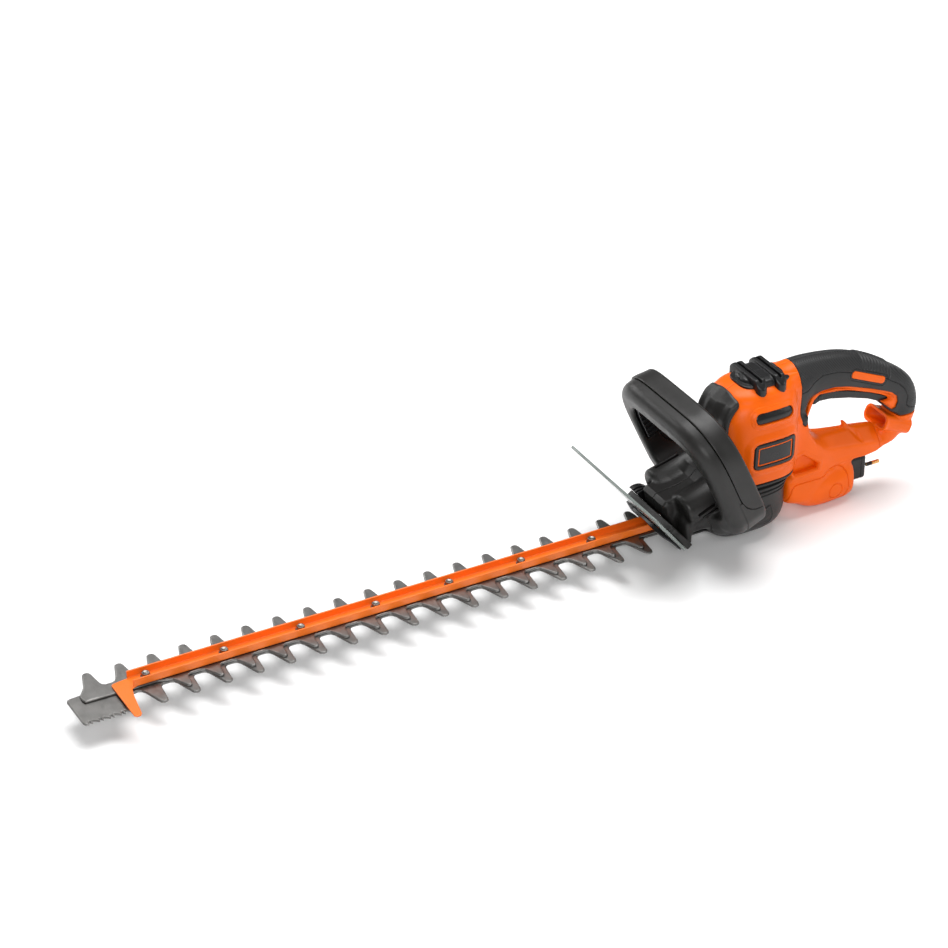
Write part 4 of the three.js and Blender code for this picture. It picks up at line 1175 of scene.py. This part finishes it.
UPPER_PLAN = polygon([
    (-710.5, -7.4), (-711.8, -4), (-712, 0), (-711.6, 4), (-709, 7.6),
    *tooth_row(-118, 19, 1, 35.6, 0)[1:], (-62, 11), (-62, 22), (-4.6, 22), (-4.6, -22), (-62, -22),
    (-62, -11), *tooth_row(-137, 16, -1, 28, 2)[::-1], (-640, -8),
])
SAW_TEETH = ((0, -36.6), (1.1, -32.9), (3.7, -36.6), (4.8, -32.9))
SAW_START, SAW_PITCH = -719.3, 10.5
SAW = [(SAW_START + SAW_PITCH * k + x, y) for k in range(4) for x, y in SAW_TEETH]
LOWER_PLAN = polygon([
    (-724, -33), (-724, 4.4), (-722.6, 7), (-720, 8), *tooth_row(-121, 18, 1, 28, 2), (-62, 11),
    (-62, 22), (-4.6, 22), (-4.6, -22), (-62, -22), (-62, -11), *tooth_row(-134, 17, -1, 37, 0)[::-1],
    (-667, -12), (-672, -24), (-676, -34.8), (-677.3, -36.6), *SAW[::-1], (-722.8, -35.8),
])
BAR_FLOOR = 22.3
HOOK = polygon([
    (-681, 2.6), (-679, 4.4), (-664, 6.6), (-655, 6.6), (-655, -6.6), (-662, -8.6), (-665.9, -10.6),
    (-669, -22), (-673.6, -49.6), (-675.6, -51.9), (-679.4, -52), (-681.3, -49.9),
])


def support_bar(x, y, z):
    """The upturned channel over the blades, with its flat hook at the tip and holes for the bolts."""
    side, up = np.abs(y), z - BAR_FLOOR
    span = np.maximum(-663.6 - x, x + 98)
    outer = np.maximum(slab(side - 8.5, -up, 1.8), up - 8.4)
    inner = np.maximum(slab(side - 7.0, 1.5 - up, 0.7), up - 20)
    channel = smax(cut(outer, inner, 0.5), span, 0.6)
    body = np.minimum(channel, slab(HOOK(x, y), np.abs(up - 0.75) - 0.75, 0.4))
    for spot in BOLT_SPOTS:
        body = np.maximum(body, 3.2 - np.hypot(x - spot, y))
    return body


def bolt(x, y, z):
    """A shoulder bolt: a flange, a six-sided head with a dished top, the shank and a swaged disc below."""
    away = np.hypot(x, y)
    angle = np.arctan2(y, x)
    hexagon = away * np.cos((angle + math.pi / 6) % (math.pi / 3) - math.pi / 6) - 3.5
    flange = slab(away - 5.1, np.abs(z - 24.75) - 0.6, 0.4)
    head = slab(hexagon, np.abs(z - 26.6) - 2.5, 0.5)
    head = smax(head, 0.7 * (away - 3.9) + 0.7 * (z - 29.0), 0.3)
    head = cut(head, np.hypot(away, z - 33.2) - 4.9, 0.3)
    shank = slab(away - 2.8, np.abs(z - 20.5) - 5, 0.2)
    disc = slab(away - 5.2, np.abs(z - 15.9) - 1.05, 0.4)
    return np.minimum(np.minimum(smin(flange, head, 0.5), shank), disc)


# ---------------------------------------------------------------- guard, plates, plug and trigger

GUARD_LEAN = math.radians(39.5)
GUARD_OUTLINE = polygon(both_sides([
    (0, 82), (60, 82), (74, 81.6), (79, 79.6), (80, 75), (76, 66), (58, 20), (50.6, -3), (48, -6),
], -6))
FLANGE_OUTLINE = outline(both_sides([
    (0, 18), (18, 18), (30, 14), (42, 9), (47, 4), (47, -1.5), (43, -5), (26, -8.4),
], -9))
PLATE_OUTLINE = outline(both_sides([(0, 20), (34, 20), (40, 15), (44, 6), (44, -8), (41, -13)], -14))


def guard_frame(x, z):
    """Height up the guard and distance in front of its rear face."""
    along, up = turned(x + 103, z - 24, GUARD_LEAN)
    return up, -along


def passage(y, z, half):
    """The way through for the blades, and above it for the bar."""
    blades = np.maximum(np.abs(y) - half, z - UPPER_TOP - 1.2)
    bar = np.maximum(np.abs(y) - 9.8, z - BAR_FLOOR - 10.9)
    return np.minimum(blades, bar)


def hand_guard(x, y, z):
    """The clear shield between the blades and the front hand."""
    up, front = guard_frame(x, z)
    body = slab(GUARD_OUTLINE(y, up), np.abs(front - 1.5) - 1.5, 1.0)
    return cut(body, passage(y, z, 39), 0.4)


def nose_flange(x, y, z):
    """The plate in front of the guard, thinner towards its ends, with a groove inside its rim."""
    up, front = guard_frame(x, z)
    edge = FLANGE_OUTLINE(y, up)
    face = 8.0 - 2.8 * ramp(20, 48, np.abs(y)) - line_groove(np.abs(edge + 4), 0.9, 0.8)
    body = slab(edge, np.maximum(3.3 - front, front - face), 1.2)
    return cut(body, passage(y, z, 39), 0.5)


def nose_back_plate(x, y, z):
    """The mounting plate behind the guard."""
    up, front = guard_frame(x, z)
    edge = PLATE_OUTLINE(y, up)
    groove = 0.8 * fade(0.4, 1.1, np.abs(edge + 5)) * ramp(-2.5, -4, front)
    body = slab(edge, np.abs(front + 3.6) - 3.3, 1.2) + groove
    body = cut(body, gear_case_form(x, y, z) - 0.3)
    return cut(body, passage(y, z, 27.5), 0.4)


CLIP = outline([
    (-113.4, 36), (-112.8, 41), (-109.8, 44.6), (-105, 46.2), (-99.6, 45.8), (-94.6, 43.6), (-89.6, 39.4),
    (-86, 33), (-100, 30),
])


def guard_clip(x, y, z):
    """The catch for the guard, with two slots along its rounded top."""
    up, front = guard_frame(x, z)
    edge = CLIP(x, z)
    body = slab(edge, np.abs(y - 34.8) - 7.8, 1.6)
    body = smax(body, np.maximum(front + 0.7, np.minimum(front + 7.3, 20.6 - up)), 0.3)
    for middle in (29.6, 34.4):
        slot = np.maximum(np.abs(y - middle) - 1.15, np.abs(x + 102) - 8.5)
        body = cut(body, np.maximum(slot, -3.4 - edge), 0.3)
    return cut(body, gear_case_form(x, y, z) - 0.3)


def plug_body(x, y, z):
    """The sunk mains inlet: a box with chamfered edges, a groove round it and a round face for the pins."""
    box_form = block(x, y, z, (104, -15, 13.5), (134.8, 15, 40), 3.4)
    box_form = box_form + 0.7 * fade(0.4, 0.9, np.abs(x - 128)) * ramp(-2, 0, box_form)
    face = rod(x, y, z, (133, 0, 24), (137.6, 0, 24), 10, 0.8)
    body = smin(box_form, face, 0.8)
    for side in (-PIN_Y, PIN_Y):
        body = cut(body, np.maximum(np.hypot(y - side, z - PIN_Z) - 2.3, 136.9 - x), 0.2)
    return body


def pin(side):
    """A brass pin, turned down near its root for the sleeve."""
    def shape(x, y, z):
        body = rod(x, y, z, (137.8, side, PIN_Z), (154, side, PIN_Z), 2.0, 0.9)
        neck = np.maximum(1.72 - np.hypot(y - side, z - PIN_Z), np.abs(x - 141.4) - 3.4)
        return cut(body, neck, 0.1)
    return shape


def sleeve(side):
    """The dark sleeve round a pin's root."""
    def shape(x, y, z):
        body = rod(x, y, z, (138.1, side, PIN_Z), (144.7, side, PIN_Z), 1.98, 0.2)
        return np.maximum(body, 1.74 - np.hypot(y - side, z - PIN_Z))
    return shape


TRIGGER = polygon([
    (68.6, 113.6), (69, 119), (71.5, 122.6), (76, 124.5), (90, 124), (112, 118.5), (136, 110.5),
    (158, 100), (163, 94.6), (164, 89.6), (163, 88), (160.5, 87.5), (153, 93.3), (135, 102), (112, 109.4),
    (89, 114.7), (76, 115.5), (71, 113.4),
])


def trigger(x, y, z):
    """The long squeeze bar, with grip ridges along its underside and a pocket for its spring."""
    edge = TRIGGER(x, z)
    wave = 0.5 + 0.5 * np.cos((x + 0.45 * z) * (2 * math.pi / 4.2))
    ridges = 0.35 * wave * fade(6.6, 7.6, np.abs(y)) * ramp(-3, 0, edge)
    body = slab(edge + ridges, np.abs(y) - 9.8, 1.8)
    body = cut(body, np.maximum(np.hypot(x - 108, y) - 4.6, 117.4 - z))
    return np.minimum(body, rod(x, y, z, (76, -10.4, 120), (76, 10.4, 120), 2.4, 0.4))


def bottom_lid(x, y, z):
    """The flat lid under the gears, with a ribbed rim and the boss for the crank's axle."""
    edge = lid_edge(x, y)
    lift = 0.8 * fade(0.3, 1.0, np.abs(edge + 4))
    lid = slab(edge, np.maximum(lift - z, z - 4.2), 0.5)
    away = np.hypot(x - AXLE_X, y)
    boss = np.maximum(away - 7, np.abs(z - 8) - 4)
    return cut(smin(lid, boss, 1), np.maximum(away - 3.5, 6 - z))


def screw(spot, face):
    """A round-headed screw with a six-lobed recess, seen from the left."""
    def shape(x, y, z):
        away = np.hypot(x - spot[0], z - spot[1])
        angle = np.arctan2(z - spot[1], x - spot[0])
        head = slab(away - 3.6, np.maximum(face - 2.6 - y, y - face), 0.7)
        recess = np.maximum(away - 1.75 - 0.4 * np.cos(6 * angle), face - 1.5 - y)
        shank = rod(x, y, z, (spot[0], face - 16, spot[1]), (spot[0], face - 2, spot[1]), 1.7, 0.5)
        return cut(np.minimum(head, shank), recess)
    return shape


# ---------------------------------------------------------------- pieces

for name, shape, low, high, cell, limit, look in (
    ("rear_corner", rear_corner, (144, 0, 30), (202, 24, 90), 0.45, 50000, ORANGE),
    ("grip", overmould, (40, 0, 66), (203, 24, 172), 0.45, 195000, RUBBER),
    ("grip_inset", grip_inset, (100, 0, 112), (156, 22, 152), 0.45, 20000, ORANGE),
    ("slot_insert", slot_insert, (-24, 0, 122), (32, 46, 146), 0.45, 24000, BLACK),
    ("badge", badge, (-28, 0, 74), (36, 46, 114), 0.45, 40000, BLACK),
    ("vent_cap", vent_cap, (-26, 0, 146), (44, 34, 172), 0.45, 70000, BLACK),
):
    pair(name, shape, low, high, cell, limit, look)

single("housing_left", housing_left, (-50, -1, -8), (205, 46, 172), 0.6, 170000, BODY, ORANGE)
single("housing_right", housing_right, (-50, -46, -8), (205, 1, 172), 0.6, 170000, BODY, ORANGE)

line = moulded(badge_line, (-28, 20, 74), (36, 46, 114), 0.3, 16000)
place("badge_line_left_skin", line, BODY, ORANGE)
place("badge_line_right_skin", mirrored(line, badge_line), BODY, ORANGE)

case_right = halved(gear_case, -1)
for name, shape, low, high, cell, limit, look in (
    ("front_cover", front_cover, (-60, -28, 60), (-16, 28, 160), 0.5, 50000, CHARCOAL),
    ("gasket", gasket, (-50, -44, 55), (48, 44, 62), 0.5, 50000, BLACK),
    ("gear_case_left", halved(gear_case), (-116, -1, -3), (44, 46, 80), 0.6, 120000, CHARCOAL),
    ("gear_case_right", case_right, (-116, -46, -3), (44, 1, 80), 0.6, 120000, CHARCOAL),
    ("bottom_lid", bottom_lid, (-64, -27, -2), (6, 27, 14), 0.6, 30000, CHARCOAL),
    ("loop_front_shell", loop_front, (-130, -90, -2), (-18, 90, 172), 0.8, 150000, CHARCOAL),
    ("loop_rear_shell", loop_rear, (-112, -90, 46), (-18, 90, 172), 0.8, 130000, CHARCOAL),
):
    single(name, shape, low, high, cell, limit, BODY, look)

bar_low, bar_high = (-116, -70, 80), (-46, 70, 160)
single("switch_bar", switch_bar, bar_low, bar_high, 0.6, 70000, "front_bar", BLACK)
for name, shape, low, high in (
    ("upper_blade", blade(UPPER_PLAN, UPPER_TOP), (-714, -32, 18), (0, 38, 24)),
    ("lower_blade", blade(LOWER_PLAN, LOWER_TOP), (-726, -40, 16), (0, 32, 22)),
):
    single(name, shape, low, high, 0.55, 70000, name, BLADE)

for name, shape, low, high, cell, limit, look in (
    ("support_bar", support_bar, (-684, -54, 20), (-96, 12, 34), 0.5, 70000, PAINT),
    ("hand_guard", hand_guard, (-170, -84, 10), (-96, 84, 94), 0.8, 40000, GUARD),
    ("nose_flange", nose_flange, (-124, -54, 8), (-90, 54, 46), 0.5, 60000, BLACK),
    ("nose_back_plate", nose_back_plate, (-118, -50, 6), (-84, 50, 50), 0.5, 50000, CHARCOAL),
    ("guard_clip", guard_clip, (-116, 25, 28), (-82, 46, 52), 0.4, 20000, BLACK),
    ("plug_body", plug_body, (102, -17, 12), (140, 17, 42), 0.45, 40000, BLACK),
):
    single(name, shape, low, high, cell, limit, BODY, look)
single("trigger", trigger, (64, -12, 84), (168, 12, 128), 0.5, 40000, "trigger", BLACK)

for side, y in (("left", PIN_Y), ("right", -PIN_Y)):
    low, high = (136, y - 4, 21), (156, y + 4, 29)
    single(f"plug_pin_{side}", pin(y), low, high, 0.25, 8000, BODY, BRASS)
    place(f"plug_pin_{side}_sleeve", moulded(sleeve(y), low, high, 0.22, 8000), BODY, BLACK)

bolt_mesh = moulded(bolt, (-7, -7, 13), (7, 7, 31), 0.28, 7000)
for k, spot in enumerate(BOLT_SPOTS, 1):
    shifted = bolt_mesh.copy()
    shifted.transform(Matrix.Translation((spot * MM, 0, 0)))
    place(f"blade_bolt_{k}_skin", shifted, BODY, BOLT, [f"blade_bolt_{k}"])

for name, (x, z), face in (*SCREWS, ("case_screw", (0, 34), 37)):
    low, high = (x - 5, face - 18, z - 5), (x + 5, face + 2, z + 5)
    single(name, screw((x, z), face), low, high, 0.3, 6000, BODY, BOLT)

# ---------------------------------------------------------------- CAD nodes that stay

look_of = {slot: bpy.data.materials[name] for name, slot in SLOT_OF.items()}
slots = {row["node"]: row["material_slot"] for row in frame["record"]["subparts"]}
for name, shown in frame["nodes"].items():
    shown.data.materials.clear()
    shown.data.materials.append(look_of[slots[name]])

low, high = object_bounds()
